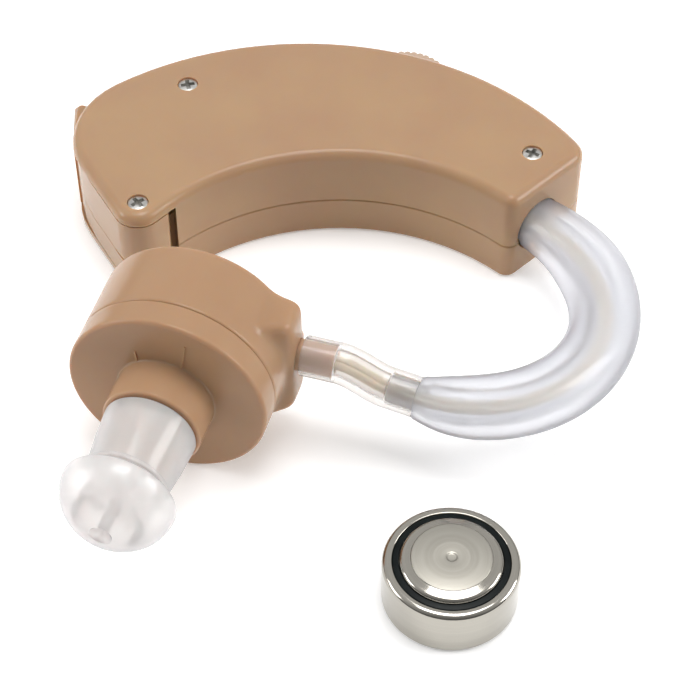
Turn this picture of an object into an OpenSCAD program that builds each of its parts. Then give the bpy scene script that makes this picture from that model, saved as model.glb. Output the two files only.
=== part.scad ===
// Behind the ear hearing aid, lying on its side, with its button cell beside it.
// The origin is on the underside of the case, half way across it. Z is up.

/* [Case] */
// Thickness of the case, floor to roof
case_height = 10.2; // [9.8:0.1:11]
// Height of the joint between the two shells
parting_height = 4.1; // [3.8:0.1:4.4]
// Side wall of the shells
case_wall = 1.1; // [0.9:0.05:1.2]
// Roof of the top shell
roof_thickness = 1.1; // [1.05:0.05:1.2]
// Floor of the bottom shell
floor_thickness = 1.1; // [0.8:0.05:1.2]
// Rounding of the roof's edge
top_edge_radius = 1; // [0.6:0.05:1.05]
// Rounding of the floor's edge
bottom_edge_radius = 0.5; // [0.3:0.05:0.8]
// Depth of the groove along the joint of the shells
seam_groove_depth = 0.12; // [0.05:0.01:0.2]
// Long outer edge of the case, seen from above
back_radius = 30.9; // [30:0.1:32]
// Hollow edge that faces the ear
hollow_radius = 22; // [21.5:0.1:22.5]
// How far the hollow edge's centre lies beside the outer edge's
hollow_offset_x = 3.5; // [3:0.1:4]
// How far the hollow edge's centre lies below the outer edge's
hollow_offset_y = 8.2; // [8:0.1:8.8]
// Direction of the hook end's near corner, from the hollow edge's centre
socket_end_at = 46; // [45:0.5:47]
// Direction of the battery end's pivot corner, from the same centre
battery_end_at = 140.6; // [139:0.2:142]
// Rounding of the near corner at the hook end
socket_near_radius = 1.2; // [1.15:0.05:1.6]
// Rounding of the far corner at the hook end
socket_far_radius = 2.2; // [1.6:0.1:3]
// Rounding of the corner that the door turns about
pivot_corner_radius = 2.3; // [2.2:0.05:2.6]
// Large rounding of the roof's corner by the nail lip
roof_corner_radius = 9; // [8:0.2:9.6]

/* [Screws] */
// Head of a case screw
screw_head_radius = 0.97; // [0.8:0.01:1]
// Height of a screw's head
screw_head_height = 0.7; // [0.5:0.05:0.8]
// Shank of a case screw
screw_radius = 0.5; // [0.35:0.05:0.55]
// Arm of the cross recess, across
recess_width = 0.28; // [0.2:0.02:0.32]
// Depth of the cross recess
recess_depth = 0.35; // [0.2:0.05:0.45]
// Screw post
post_radius = 1.3; // [1.1:0.05:1.4]

/* [Battery door] */
// Button cell, its radius
cell_radius = 5.8; // [5.6:0.05:5.9]
// Button cell, its height
cell_height = 5.4; // [5:0.1:5.4]
// Room round the cell in its bay
bay_clearance = 0.1; // [0.05:0.01:0.15]
// From the pivot to the middle of the bay
bay_distance = 9; // [8.9:0.05:9.2]
// Outer wall of the door
door_wall = 0.95; // [0.8:0.05:1]
// Inner rim of the bay
ring_wall = 0.8; // [0.6:0.05:0.9]
// Tray under the cell
tray_floor = 0.75; // [0.6:0.05:0.9]
// How far the tray's rim stays below the top of the cell
rim_step_height = 0.2; // [0.1:0.05:1]
// Gap between the door and the case
door_gap = 0.15; // [0.1:0.01:0.2]
// Slot that shows beside the door in the hollow edge
door_slot_width = 0.7; // [0.5:0.05:0.8]
// Reach of the door's barrel on the slot's side
barrel_radius = 2.75; // [2.6:0.05:2.8]
// Post that the door turns on
pivot_post_radius = 1.1; // [1:0.05:1.2]
// Running clearance of a turning fit
running_clearance = 0.05; // [0.03:0.01:0.08]
// How far the nail lip stands out at its upper end
lip_depth = 0.65; // [0.4:0.05:0.8]
// Rounding of the nail lip
lip_radius = 0.85; // [0.7:0.05:1]

/* [Volume wheel] */
// Radius over the knurls
wheel_radius = 4.5; // [4.2:0.05:4.6]
// Thickness of the wheel
wheel_thickness = 2.6; // [2.2:0.1:2.8]
// How far the wheel stands out of the back
wheel_exposed_depth = 2; // [1.6:0.1:2.2]
// Place of the wheel round the back
wheel_at = 69.3; // [67:0.1:72]
// Depth of the knurls
knurl_depth = 0.22; // [0.1:0.01:0.3]
// Number of knurls
knurls = 40; // [32:1:48]
// Gap round the wheel in its slot
wheel_gap = 0.3; // [0.2:0.02:0.35]
// Shaft of the wheel
shaft_radius = 0.8; // [0.6:0.05:0.9]

/* [Circuit] */
// Thickness of the circuit board
board_thickness = 0.8; // [0.6:0.05:0.9]
// Room between the wheel and the roof
wheel_roof_gap = 0.5; // [0.45:0.05:0.6]
// Gap between the board and the walls
board_gap = 0.4; // [0.3:0.05:0.5]
// Volume control under the wheel
control_radius = 4; // [3.5:0.1:4.2]
// Height of the volume control
control_height = 1.2; // [1:0.05:1.3]
// Microphone capsule
mic_radius = 2.25; // [2:0.05:2.3]
// Height of the microphone capsule
mic_height = 2.2; // [1.8:0.1:2.4]
// Rubber cup round the microphone
mic_boot_wall = 0.45; // [0.35:0.05:0.5]
// Hole through the back for the sound
mic_port_radius = 0.5; // [0.3:0.05:0.6]
// Thickness of the battery contacts
contact_thickness = 0.2; // [0.15:0.01:0.22]
// Width of the battery contacts
contact_width = 1.8; // [1.4:0.1:2]

/* [Ear hook] */
// Largest radius of the hook
hook_radius = 3.33; // [3.2:0.05:3.4]
// Bore of the hook
hook_bore_radius = 1.3; // [1.1:0.05:1.35]
// Bend of the hook where it leaves the case
hook_first_bend_radius = 15.85; // [15.6:0.05:16.1]
// Bend of the hook at its tip
hook_last_bend_radius = 11.25; // [11:0.05:11.6]
// Turn of the hook from case to tip
hook_sweep = 163.4; // [162:0.2:165]
// Direction in which the hook leaves the case
hook_direction = -39.4; // [-41:0.2:-38]
// How far the hook is turned in its socket
hook_roll = 5; // [4:0.2:6]
// Stub of the hook in its socket
stub_radius = 2.2; // [2.1:0.02:2.25]
// Length of the stub behind the end wall
stub_length = 5.2; // [5:0.1:5.4]
// Hole in the end wall, round the hook
hole_radius = 2.75; // [2.7:0.05:2.9]
// Nipple of the hook in the tube
nipple_radius = 1.25; // [1.22:0.01:1.35]
// Bore of the nipple
nipple_bore_radius = 0.95; // [0.9:0.01:1]
// Length of the nipple
nipple_length = 2.8; // [2.4:0.1:3]

/* [Sound tube] */
// Outside of the clear tube
tube_radius = 1.85; // [1.8:0.01:1.95]
// Relaxed bore of the tube
tube_bore_radius = 1.1; // [1:0.01:1.15]
// Insulation of one lead
lead_radius = 0.36; // [0.3:0.01:0.38]

/* [Receiver drum] */
// Radius of the drum, which lies on its rim
drum_radius = 9; // [8.8:0.05:9.2]
// Depth of the drum
drum_depth = 9.6; // [9.4:0.1:10]
// Wall of the drum
drum_wall = 1; // [0.8:0.05:1.1]
// From the front face back to the joint of cup and cover
drum_seam_depth = 2.6; // [2.5:0.05:2.8]
// Rounding of the drum's edges
drum_edge_radius = 0.7; // [0.5:0.05:0.9]
// Middle of the drum's front face, X
drum_x = -12.8; // [-13.2:0.1:-12.4]
// Middle of the drum's front face, Y
drum_y = -37.9; // [-38.3:0.1:-37.5]
// Turn of the drum, seen from above
drum_turn = -16.5; // [-18:0.5:-15]
// Depth of the tube's axis behind the front face
lug_depth = 7.85; // [7.7:0.05:7.9]
// How far the lug stands out of the drum
lug_length = 0.6; // [0.5:0.05:0.8]
// Half the height of the lug
lug_half_height = 5.6; // [5:0.1:6]
// Rounding of the lug
lug_edge_radius = 1.2; // [0.9:0.05:1.5]
// Pipe that the tube is pushed on
spigot_radius = 1.4; // [1.35:0.01:1.45]
// Bore of the pipe
spigot_bore_radius = 0.95; // [0.85:0.01:1]
// Length of the pipe outside the lug
spigot_length = 3.3; // [3:0.1:3.5]
// Nozzle on the front
nozzle_radius = 4.4; // [4.3:0.05:4.6]
// Length of the nozzle
nozzle_length = 3.8; // [3.4:0.1:4]
// Stem that the ear tip is pushed on
stem_radius = 3.1; // [2.9:0.05:3.2]
// Length of the stem
stem_length = 5.4; // [5:0.1:5.6]
// Sound passage through nozzle and stem
passage_radius = 1.6; // [1.3:0.05:1.8]

/* [Receiver driver] */
// Gap between the driver's frame and the cover's lip
frame_gap = 0.12; // [0.08:0.01:0.2]
// Height of the frame
frame_height = 4.6; // [4.2:0.1:4.6]
// Sheet that the frame is made of
frame_wall = 0.6; // [0.4:0.05:0.7]
// Magnet
magnet_radius = 3.2; // [2.8:0.05:3.3]
// Height of the magnet
magnet_height = 1.9; // [1.6:0.05:2]
// Pole plate on the magnet
pole_thickness = 0.5; // [0.4:0.05:0.6]
// Gap between pole plate and voice coil
coil_gap = 0.2; // [0.15:0.01:0.25]
// Winding of the voice coil, across
coil_wall = 0.4; // [0.3:0.02:0.5]
// Height of the voice coil
coil_height = 2.2; // [1.8:0.1:2.3]
// Diaphragm
diaphragm_thickness = 0.2; // [0.15:0.01:0.25]

/* [Ear tip] */
// Clearance of the tip on its stem
tip_clearance = 0.05; // [0.03:0.01:0.08]
// Sleeve of the tip at the nozzle
sleeve_radius = 4.15; // [4:0.05:4.2]
// Sleeve of the tip behind the dome
sleeve_end_radius = 3.6; // [3.55:0.01:3.75]
// Ring at the end of the sleeve
tip_ring_radius = 3.85; // [3.8:0.01:3.95]
// Neck under the dome
neck_radius = 3; // [2.6:0.05:3.2]
// Dome that fills the ear canal
dome_radius = 5; // [4.8:0.05:5.2]
// Length of the dome
dome_length = 4.3; // [4.1:0.05:4.5]
// Skirt of the dome
dome_wall = 0.55; // [0.45:0.05:0.6]
// From the ring to the dome's rim
rim_distance = 1.2; // [1:0.05:1.4]
// Sound outlet in the dome
outlet_radius = 1; // [0.8:0.05:1.2]

/* [Button cell] */
// Place of the loose cell, X
cell_x = 11.4; // [10:0.1:14]
// Place of the loose cell, Y
cell_y = -52.3; // [-56:0.1:-50]
// Sheet of the can and the cap
can_wall = 0.3; // [0.2:0.02:0.35]
// Rim of the can below the cap's top
can_step_height = 0.55; // [0.4:0.05:0.8]
// Flat of the cap
cap_flat_radius = 3.3; // [3:0.05:3.5]
// Shoulder of the cap
cap_radius = 4.6; // [4.4:0.05:4.7]
// Turned in rim of the can
can_mouth_radius = 5; // [4.95:0.01:5.1]

/* [Hidden] */

$fn = 64;
// Overrun of every overrun_length
overrun_length = 0.2;
// Smallest arc that an inset corner keeps
least_arc_radius = 0.02;
// Play of a still fit
fit_gap = 0.03;
// Colours
beige = [0.78, 0.64, 0.51];
clear = [0.88, 0.89, 0.92, 0.5];
steel = [0.78, 0.77, 0.75];
gold = [0.85, 0.68, 0.35];

// A place at distance r in direction a
function polar(r, a) = [r * cos(a), r * sin(a)];
function left_of(v) = [-v.y, v.x];
function unit(v) = v / norm(v);

// Outline of the case: a belt round corner circles, with a negative radius for the hollow
back_centre = [-1.5 / 30.9 * back_radius, -22.3 / 30.9 * back_radius];
hollow_centre = back_centre + [hollow_offset_x, -hollow_offset_y];
near_corner = hollow_centre + polar(hollow_radius + socket_near_radius, socket_end_at);
pivot = hollow_centre + polar(hollow_radius + pivot_corner_radius, battery_end_at);
// Directions that the two end walls face
socket_end_facing = -45.9;
battery_end_facing = 209.5;
socket_out = polar(1, socket_end_facing);
battery_out = polar(1, battery_end_facing);
battery_up = -left_of(battery_out);

// Centre of a corner that touches an end wall and the long outer edge
function corner_centre(on, on_radius, radius, out, side) =
    let (along = (on - back_centre) * out + on_radius - radius,
        up = sqrt(pow(back_radius - radius, 2) - along * along))
    back_centre + along * out + side * up * left_of(out);

far_corner = corner_centre(near_corner, socket_near_radius, socket_far_radius, socket_out, 1);
roof_corner = corner_centre(pivot, pivot_corner_radius, roof_corner_radius, battery_out, -1);

// Each row: centre, radius, steps round it and the last step that is kept
belt = [
    [near_corner.x, near_corner.y, socket_near_radius, 6, 6],
    [far_corner.x, far_corner.y, socket_far_radius, 7, 6],
    [back_centre.x, back_centre.y, back_radius, 30, 29],
    [roof_corner.x, roof_corner.y, roof_corner_radius, 9, 9],
    [pivot.x, pivot.y, pivot_corner_radius, 8, 7],
    [hollow_centre.x, hollow_centre.y, -hollow_radius, 24, 23]
];

function belt_angle(p, q) = atan2(q.y - p.y, q.x - p.x)
    - acos(max(-1, min(1, (p[2] - q[2]) / norm([q.x - p.x, q.y - p.y]))));
function swing(a, b, side) = side * ((side * (b - a) % 360 + 360) % 360);
function shrunk(r, inset) = r > 0 ? max(r - inset, least_arc_radius) : r - inset;
function outline(inset) = [for (i = [0 : len(belt) - 1])
    let (p = belt[i], n = len(belt), a = belt_angle(belt[(i + n - 1) % n], p),
        sweep = swing(a, belt_angle(p, belt[(i + 1) % n]), sign(p[2])))
    for (k = [0 : p[4]]) [p.x, p.y] + polar(shrunk(p[2], inset), a + sweep * k / p[3])];

// Layers of a rounded edge, as height and inset, at the foot and at the top
function foot_edge(z, r, n) = [for (i = [0 : n]) let (a = 90 * i / n)
    [z + r * (1 - cos(a)), r * (1 - sin(a))]];
function top_edge(z, r, n) = [for (i = [0 : n]) let (a = 90 * i / n)
    [z - r * (1 - sin(a)), r * (1 - cos(a))]];

// Triangles of an end face: a strip between the long outer edge and the hollow
hollow_steps = belt[5][4];
outer_last = len(outline(0)) - 2 - hollow_steps;
strip_from = belt[0][4] + belt[1][4] + 2;
strip_to = strip_from + belt[2][4];
function across(i) = floor(hollow_steps * max(0, min(1, (i - strip_from) / (strip_to - strip_from))));
function end_face(first) = let (n = len(outline(0)))
    [for (i = [0 : outer_last - 1]) each concat(
        [[first + i, first + i + 1, first + n - 1 - across(i)]],
        [for (k = [across(i) : 1 : across(i + 1) - 1])
            [first + i + 1, first + n - 2 - k, first + n - 1 - k]])];
function reversed(face) = [for (i = [len(face) - 1 : -1 : 0]) face[i]];

// Solid of the case's outline through layers of height and inset
module loft(layers) {
    n = len(outline(0));
    m = len(layers);
    polyhedron(
        points = [for (l = layers) for (p = outline(l[1])) [p.x, p.y, l[0]]],
        faces = concat(end_face(0),
            [for (j = [0 : m - 2], i = [0 : n - 1]) let (k = (i + 1) % n)
                [j * n + i, (j + 1) * n + i, (j + 1) * n + k, j * n + k]],
            [for (f = end_face((m - 1) * n)) reversed(f)]),
        convexity = 6);
}

// Slab of the case's outline, drawn in by inset
module slab(from, to, inset = 0) {
    translate([0, 0, from]) linear_extrude(to - from) polygon(outline(inset));
}

// Ring that follows the case's outline
module rim(from, to, outer, inner) {
    translate([0, 0, from]) linear_extrude(to - from) difference() {
        polygon(outline(outer));
        polygon(outline(inner));
    }
}

// Cylinder between two heights at a place
module post(at, r, from, to) {
    translate([at.x, at.y, from]) cylinder(r = r, h = to - from);
}

// Pipe through a list of places, with its direction and radius at each
module pipe(path, along, radii, sides) {
    m = len(path);
    rings = [for (j = [0 : m - 1])
        let (side = unit(cross(along[j], [0, 0, 1])), up = cross(side, unit(along[j])))
        for (k = [0 : sides - 1]) let (a = 360 * k / sides)
            path[j] + radii[j] * (cos(a) * side + sin(a) * up)];
    polyhedron(points = rings,
        faces = concat([[for (k = [sides - 1 : -1 : 0]) k]],
            [for (j = [0 : m - 2], k = [0 : sides - 1]) let (l = (k + 1) % sides)
                [j * sides + k, j * sides + l, (j + 1) * sides + l, (j + 1) * sides + k]],
            [[for (k = [0 : sides - 1]) (m - 1) * sides + k]]),
        convexity = 8);
}

roof_under = case_height - roof_thickness;
// Lip on the bottom shell that registers the top shell
register_height = 0.7;
register_share = 0.5;

// Bay for the cell, inside the end wall and round the pivot
bay_radius = cell_radius + bay_clearance;
bay_in = bay_radius + door_wall - pivot_corner_radius;
bay_up = sqrt(bay_distance * bay_distance - bay_in * bay_in);
bay_centre = pivot - bay_in * battery_out + bay_up * battery_up;
door_reach_radius = bay_distance + bay_radius + ring_wall;
door_bottom = floor_thickness + door_gap;
door_top = roof_under - door_gap;
bay_floor = door_bottom + tray_floor;
ring_top = bay_floor + cell_height - rim_step_height;
// The outer wall is this much thinner above the tray's rim
rim_relief_depth = 0.15;

// Places of the three case screws: on the pivot, past the door and beside the socket
past_door_at = 77.4;
post_clearance = 0.06;
back_screw = pivot + polar(door_reach_radius + door_gap + post_radius + post_clearance, past_door_at);
hook_along = polar(1, hook_direction);
hook_left = left_of(hook_along);
// The hook starts a little inside the end wall
hook_sink_depth = 0.3;
socket_place = near_corner + (socket_near_radius - hook_sink_depth) * socket_out
    + hole_radius * left_of(socket_out);
socket_height = case_height / 2;
// The screw by the socket clears the stub by this wall
socket_screw_wall_thickness = 0.84;
socket_screw_distance = 2.93;
socket_screw = socket_place - socket_screw_distance * hook_along
    + (stub_radius + running_clearance + socket_screw_wall_thickness) * hook_left;
screw_places = [pivot, back_screw, socket_screw];
screw_sink_depth = 0.1;
screw_seat = case_height - screw_sink_depth - screw_head_height;
screw_hole_radius = screw_radius + running_clearance;
screw_tip = floor_thickness + screw_radius;

// Cuts of the three screws through a shell
module screw_cuts() {
    for (p = screw_places) {
        post(p, screw_hole_radius, screw_tip - screw_radius, case_height + overrun_length);
        post(p, screw_head_radius + running_clearance, screw_seat, case_height + overrun_length);
    }
}

// Room that the door needs in the side walls
module door_room() {
    room_facing = 75;
    translate([0, 0, floor_thickness]) linear_extrude(roof_under - floor_thickness) {
        translate(pivot) circle(barrel_radius + door_slot_width);
        intersection() {
            translate(pivot) circle(door_reach_radius + door_gap);
            translate(pivot) rotate(room_facing) translate([-2 * door_reach_radius, 0])
                square([4 * door_reach_radius, 2 * door_reach_radius]);
        }
    }
}

// Socket of the hook: frame whose X axis leaves the case
module at_socket() {
    translate([socket_place.x, socket_place.y, socket_height]) rotate([0, 0, hook_direction]) children();
}
module along_x(r, from, to, end = undef) {
    translate([from, 0, 0]) rotate([0, 90, 0])
        cylinder(r1 = r, r2 = is_undef(end) ? r : end, h = to - from);
}
collar_wall = 1.4;
collar_depth = 3.6;
hole_depth = 0.9;
module socket_collar(from, to) {
    intersection() {
        at_socket() along_x(stub_radius + collar_wall, -collar_depth, 0);
        slab(from, to, case_wall * register_share);
    }
}
module socket_cuts() {
    at_socket() {
        along_x(stub_radius + running_clearance, -collar_depth - overrun_length, stub_length);
        along_x(hole_radius, -hole_depth, stub_length);
        along_x(retainer_radius + running_clearance, retainer_from - retainer_gap,
            retainer_to + retainer_gap);
    }
}

// Volume wheel
wheel_centre = back_centre + polar(back_radius + wheel_exposed_depth - wheel_radius, wheel_at);
wheel_top = roof_under - wheel_roof_gap;
wheel_under = wheel_top - wheel_thickness;
control_top = wheel_under - running_clearance * 2;
board_top = control_top - control_height;
board_under = board_top - board_thickness;
module wheel_slot() {
    post(wheel_centre, wheel_radius + wheel_gap, wheel_under - wheel_gap,
        min(wheel_top + wheel_gap, roof_under));
}

// Microphone
mic_at = 49;
mic_boot_radius = mic_radius + mic_boot_wall;
mic_centre = back_centre + polar(back_radius - case_wall - mic_boot_radius - running_clearance, mic_at);
mic_base = board_top + mic_boot_wall;
mic_mid = mic_base + mic_height / 2;
module mic_port(r, from) {
    translate([mic_centre.x, mic_centre.y, mic_mid]) rotate([0, 0, mic_at])
        along_x(r, from, 2 * mic_boot_radius);
}

module top_shell() {
    color(beige) difference() {
        union() {
            difference() {
                loft(concat([[parting_height, seam_groove_depth], [parting_height + seam_groove_depth, 0]],
                    top_edge(case_height, top_edge_radius, 5)));
                slab(parting_height - overrun_length, roof_under, case_wall);
            }
            socket_collar(parting_height, roof_under);
            for (p = [back_screw, socket_screw])
                post(p, post_radius, parting_height, roof_under + overrun_length);
        }
        rim(parting_height - overrun_length, parting_height + register_height + fit_gap,
            case_wall * register_share - fit_gap, case_wall + fit_gap);
        door_room();
        screw_cuts();
        socket_cuts();
        wheel_slot();
        mic_port(mic_port_radius, 0);
    }
}

board_boss_radius = 1.1;
board_boss_shares = [[60, 0.8], [80, 0.62], [101, 0.82]];
function board_place(p) = back_centre + polar(back_radius * p[1], p[0]);
module bottom_shell() {
    color(beige) difference() {
        union() {
            difference() {
                loft(concat(foot_edge(0, bottom_edge_radius, 3),
                    [[parting_height - seam_groove_depth, 0], [parting_height, seam_groove_depth]]));
                slab(floor_thickness, parting_height + overrun_length, case_wall);
            }
            rim(parting_height - overrun_length, parting_height + register_height,
                case_wall * register_share, case_wall);
            socket_collar(floor_thickness - overrun_length, parting_height);
            for (p = [back_screw, socket_screw])
                post(p, post_radius, floor_thickness - overrun_length, parting_height);
            for (p = board_boss_shares)
                post(board_place(p), board_boss_radius, floor_thickness - overrun_length, board_under);
        }
        difference() {
            door_room();
            post(pivot, pivot_post_radius, floor_thickness, roof_under);
        }
        screw_cuts();
        socket_cuts();
    }
    color(beige) difference() {
        post(pivot, pivot_post_radius, floor_thickness - overrun_length, roof_under);
        screw_cuts();
    }
}

module case_screws() {
    color(steel) for (p = screw_places) difference() {
        union() {
            post(p, screw_radius, screw_tip, screw_seat + screw_head_height);
            post(p, screw_head_radius, screw_seat, screw_seat + screw_head_height);
        }
        for (a = [30, 120]) translate([p.x, p.y, screw_seat + screw_head_height - recess_depth])
            rotate(a) translate([-screw_head_radius * 0.7, -recess_width / 2, 0])
                cube([screw_head_radius * 1.4, recess_width, recess_depth + overrun_length]);
    }
}

// The door in plan: all of the end that its reach about the pivot allows
module door_plan() {
    wall_end_at = 108;
    intersection() {
        polygon(outline(0));
        translate(pivot) circle(door_reach_radius);
        hull() {
            translate(bay_centre) circle(bay_radius + ring_wall);
            translate(pivot) circle(barrel_radius);
            translate(pivot + polar(door_reach_radius - door_wall, wall_end_at)) circle(door_wall);
            translate(roof_corner - (roof_corner_radius - door_wall) * polar(1, 0)) circle(door_wall);
        }
        union() {
            translate(pivot) circle(barrel_radius);
            difference() {
                translate(pivot) circle(2 * door_reach_radius);
                translate(hollow_centre) circle(hollow_radius + case_wall + door_gap);
            }
            translate(pivot) rotate(battery_end_facing) translate([0, -barrel_radius])
                square([door_reach_radius, 2 * barrel_radius]);
        }
    }
}
lip_shares = [[1, 152.6], [0.25, 180.4], [-2, 166]];
lip_edge_share = 0.5;
module battery_door() {
    color(beige) difference() {
        union() {
            translate([0, 0, door_bottom]) linear_extrude(door_top - door_bottom) door_plan();
            difference() {
                hull() for (l = lip_shares)
                    let (at = roof_corner + polar(roof_corner_radius + l[0] * lip_depth, l[1])) {
                        post(at, lip_radius, door_bottom, door_top - lip_radius * lip_edge_share);
                        post(at, lip_radius * (1 - lip_edge_share), door_bottom, door_top);
                    }
                linear_extrude(case_height) difference() {
                    polygon(outline(-door_gap));
                    translate(pivot) circle(door_reach_radius);
                }
            }
        }
        // above the tray's rim only the barrel and a thinner outer wall are left
        translate([0, 0, ring_top]) linear_extrude(case_height) difference() {
            polygon(outline(door_wall - rim_relief_depth));
            translate(pivot) circle(pivot_corner_radius);
        }
        post(bay_centre, bay_radius, bay_floor, case_height);
        post(pivot, pivot_post_radius + running_clearance, 0, case_height);
        // window for the contact on the side of the cell
        translate([bay_centre.x, bay_centre.y, bay_floor]) rotate(contact_window_at)
            translate([0, -contact_width, 0]) cube([door_reach_radius, 3 * contact_width, case_height]);
        // the shells' joint goes on across the door
        difference() {
            rim(parting_height - seam_groove_depth, parting_height + seam_groove_depth,
                -door_reach_radius, seam_groove_depth);
            linear_extrude(case_height) intersection() {
                translate(roof_corner) circle(roof_corner_radius + 2 * lip_depth + lip_radius);
                translate(pivot) circle(door_reach_radius - 2 * bay_radius / 3);
            }
        }
    }
}
contact_window_at = 10;

// Board, trimmed to clear the door's sweep and the socket
board_sector = [42, 110];
module circuit_board() {
    color([0.12, 0.35, 0.2]) translate([0, 0, board_under]) linear_extrude(board_thickness) difference() {
        intersection() {
            polygon(outline(case_wall + board_gap));
            translate(back_centre) polygon(concat([[0, 0]],
                [for (a = [board_sector[0] : 4 : board_sector[1]]) polar(1.2 * back_radius, a)]));
        }
        translate(pivot) circle(door_reach_radius + board_gap);
        translate(socket_place) rotate(hook_direction)
            translate([-stub_length * 1.25, -stub_radius - collar_wall - board_gap])
                square([3 * stub_length, 2 * (stub_radius + collar_wall + board_gap)]);
    }
}

chip_width = 4;
chip_height = 1;
chip_shares = [86, 0.72];
module amplifier_chip() {
    pin = 0.35;
    p = board_place(chip_shares);
    color([0.12, 0.12, 0.13]) translate([p.x, p.y, board_top]) rotate(chip_shares[0]) {
        translate([-chip_width / 2, -chip_width / 2, pin / 2]) cube([chip_width, chip_width, chip_height]);
        for (side = [-1, 1], k = [-1.5 : 1 : 1.5]) translate([k * chip_width / 4 - pin / 2,
            side * chip_width / 2 - (side > 0 ? pin : 2 * pin), 0]) cube([pin, 3 * pin, pin]);
    }
}

cap_can_radius = 1.4;
cap_can_height = 3.2;
cap_shares = [[99, 0.88], [93, 0.88], [86.5, 0.885]];
module capacitors() {
    color([0.25, 0.3, 0.5]) for (c = cap_shares)
        post(board_place(c), cap_can_radius, board_top, board_top + cap_can_height);
}

resistor_length = 1.2;
resistor_width = 0.6;
resistor_height = 0.4;
resistor_count = 6;
module chip_resistors() {
    color([0.2, 0.2, 0.2]) for (k = [0 : resistor_count - 1])
        let (p = board_place([60 + 3.2 * k, 0.66])) translate([p.x, p.y, board_top]) rotate(60 + 3.2 * k)
            translate([-resistor_length / 2, -resistor_width / 2, 0])
                cube([resistor_length, resistor_width, resistor_height]);
}

module microphone_capsule() {
    color(steel) difference() {
        post(mic_centre, mic_radius, mic_base, mic_base + mic_height);
        mic_port(mic_port_radius, mic_radius / 2);
    }
}

module microphone_boot() {
    color([0.15, 0.15, 0.16]) difference() {
        post(mic_centre, mic_boot_radius, board_top, mic_base + mic_height);
        post(mic_centre, mic_radius + fit_gap, mic_base, mic_base + mic_height + overrun_length);
        mic_port(mic_port_radius, 0);
    }
}

module volume_control_body() {
    color([0.2, 0.2, 0.22]) difference() {
        intersection() {
            post(wheel_centre, control_radius, board_top, control_top);
            slab(board_top, control_top, case_wall + board_gap);
        }
        post(wheel_centre, shaft_radius + running_clearance, board_top + control_height / 4,
            control_top + overrun_length);
    }
}

// Contact strips run from the board towards the middle of the bay
module at_bay(a) {
    translate([bay_centre.x, bay_centre.y, 0]) rotate(a) children();
}
contact_length = 14.4;
positive_at = 20;
negative_at = 8;
module positive_contact() {
    blade = bay_radius + contact_thickness / 4;
    color(gold) at_bay(positive_at) translate([0, contact_width / 2, 0]) rotate([90, 0, 0])
        linear_extrude(contact_width) polygon([
            [blade, bay_floor + contact_thickness],
            [blade + contact_thickness, bay_floor + contact_thickness],
            [blade + contact_thickness, board_top],
            [contact_length, board_top],
            [contact_length, board_top + contact_thickness],
            [blade + contact_thickness, board_top + contact_thickness],
            [blade + contact_thickness, ring_top - contact_thickness],
            [blade, ring_top - contact_thickness]]);
}

module negative_contact() {
    touch = bay_floor + cell_height + contact_thickness / 4;
    high = (ring_top + roof_under) / 2;
    nose = contact_width * 0.6;
    color(gold) at_bay(negative_at) translate([0, contact_width / 2, 0]) rotate([90, 0, 0])
        linear_extrude(contact_width) polygon([
            [-nose, touch], [nose, touch],
            [3 * nose, high - contact_thickness],
            [contact_length - contact_thickness, high - contact_thickness],
            [contact_length - contact_thickness, board_top],
            [contact_length + contact_width, board_top],
            [contact_length + contact_width, board_top + contact_thickness],
            [contact_length, board_top + contact_thickness],
            [contact_length, high], [3 * nose - contact_thickness, high],
            [nose - contact_thickness / 2, touch + contact_thickness],
            [-nose, touch + contact_thickness]]);
}

// Knurled wheel with a recess for its screw
hub_radius = shaft_radius * 2.2;
module volume_wheel() {
    color([0.75, 0.68, 0.6]) difference() {
        translate([wheel_centre.x, wheel_centre.y, wheel_under]) linear_extrude(wheel_thickness)
            polygon([for (k = [0 : 4 * knurls - 1])
                polar(wheel_radius - (k % 4 < 2 ? 0 : knurl_depth), 90 * k / knurls)]);
        post(wheel_centre, shaft_radius + fit_gap, 0, case_height);
        post(wheel_centre, hub_radius, wheel_top - wheel_thickness / 3, case_height);
    }
}

screw_cap = wheel_top - wheel_thickness / 3;
module volume_shaft() {
    color(steel) post(wheel_centre, shaft_radius, board_top + control_height / 2, screw_cap);
}

module wheel_screw() {
    color(steel) difference() {
        post(wheel_centre, hub_radius - running_clearance, screw_cap, screw_cap + wheel_thickness / 5);
        translate([wheel_centre.x - hub_radius, wheel_centre.y - recess_width / 2,
            screw_cap + wheel_thickness / 10]) cube([2 * hub_radius, recess_width, wheel_thickness]);
    }
}

// The hook's middle line lies in a plane: its bend changes evenly from case to tip
hook_turn = hook_sweep * PI / 180;
bend_change = hook_last_bend_radius - hook_first_bend_radius;
function hook_flat(u) = let (a = hook_sweep * u) [
    hook_first_bend_radius * sin(a) + bend_change * (u * sin(a) + (cos(a) - 1) / hook_turn),
    -(hook_first_bend_radius * (1 - cos(a)) + bend_change * (sin(a) / hook_turn - u * cos(a))), 0];
function hook_heading(u) = [cos(hook_sweep * u), -sin(hook_sweep * u), 0];
// Radius of the hook along its length, as shares of the largest
hook_shares = [[0, 0.79], [0.08, 0.88], [0.2, 1], [0.45, 0.945], [0.7, 0.9], [0.85, 0.85], [0.93, 0.75],
    [1, 0.59]];
function hook_girth(u) = hook_radius * lookup(u, hook_shares);
hook_steps = 32;
hook_us = [for (i = [0 : hook_steps]) i / hook_steps];
module at_hook() {
    at_socket() rotate([-hook_roll, 0, 0]) children();
}
module at_hook_tip() {
    p = hook_flat(1);
    at_hook() translate(p) rotate([0, 0, -hook_sweep]) children();
}
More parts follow.
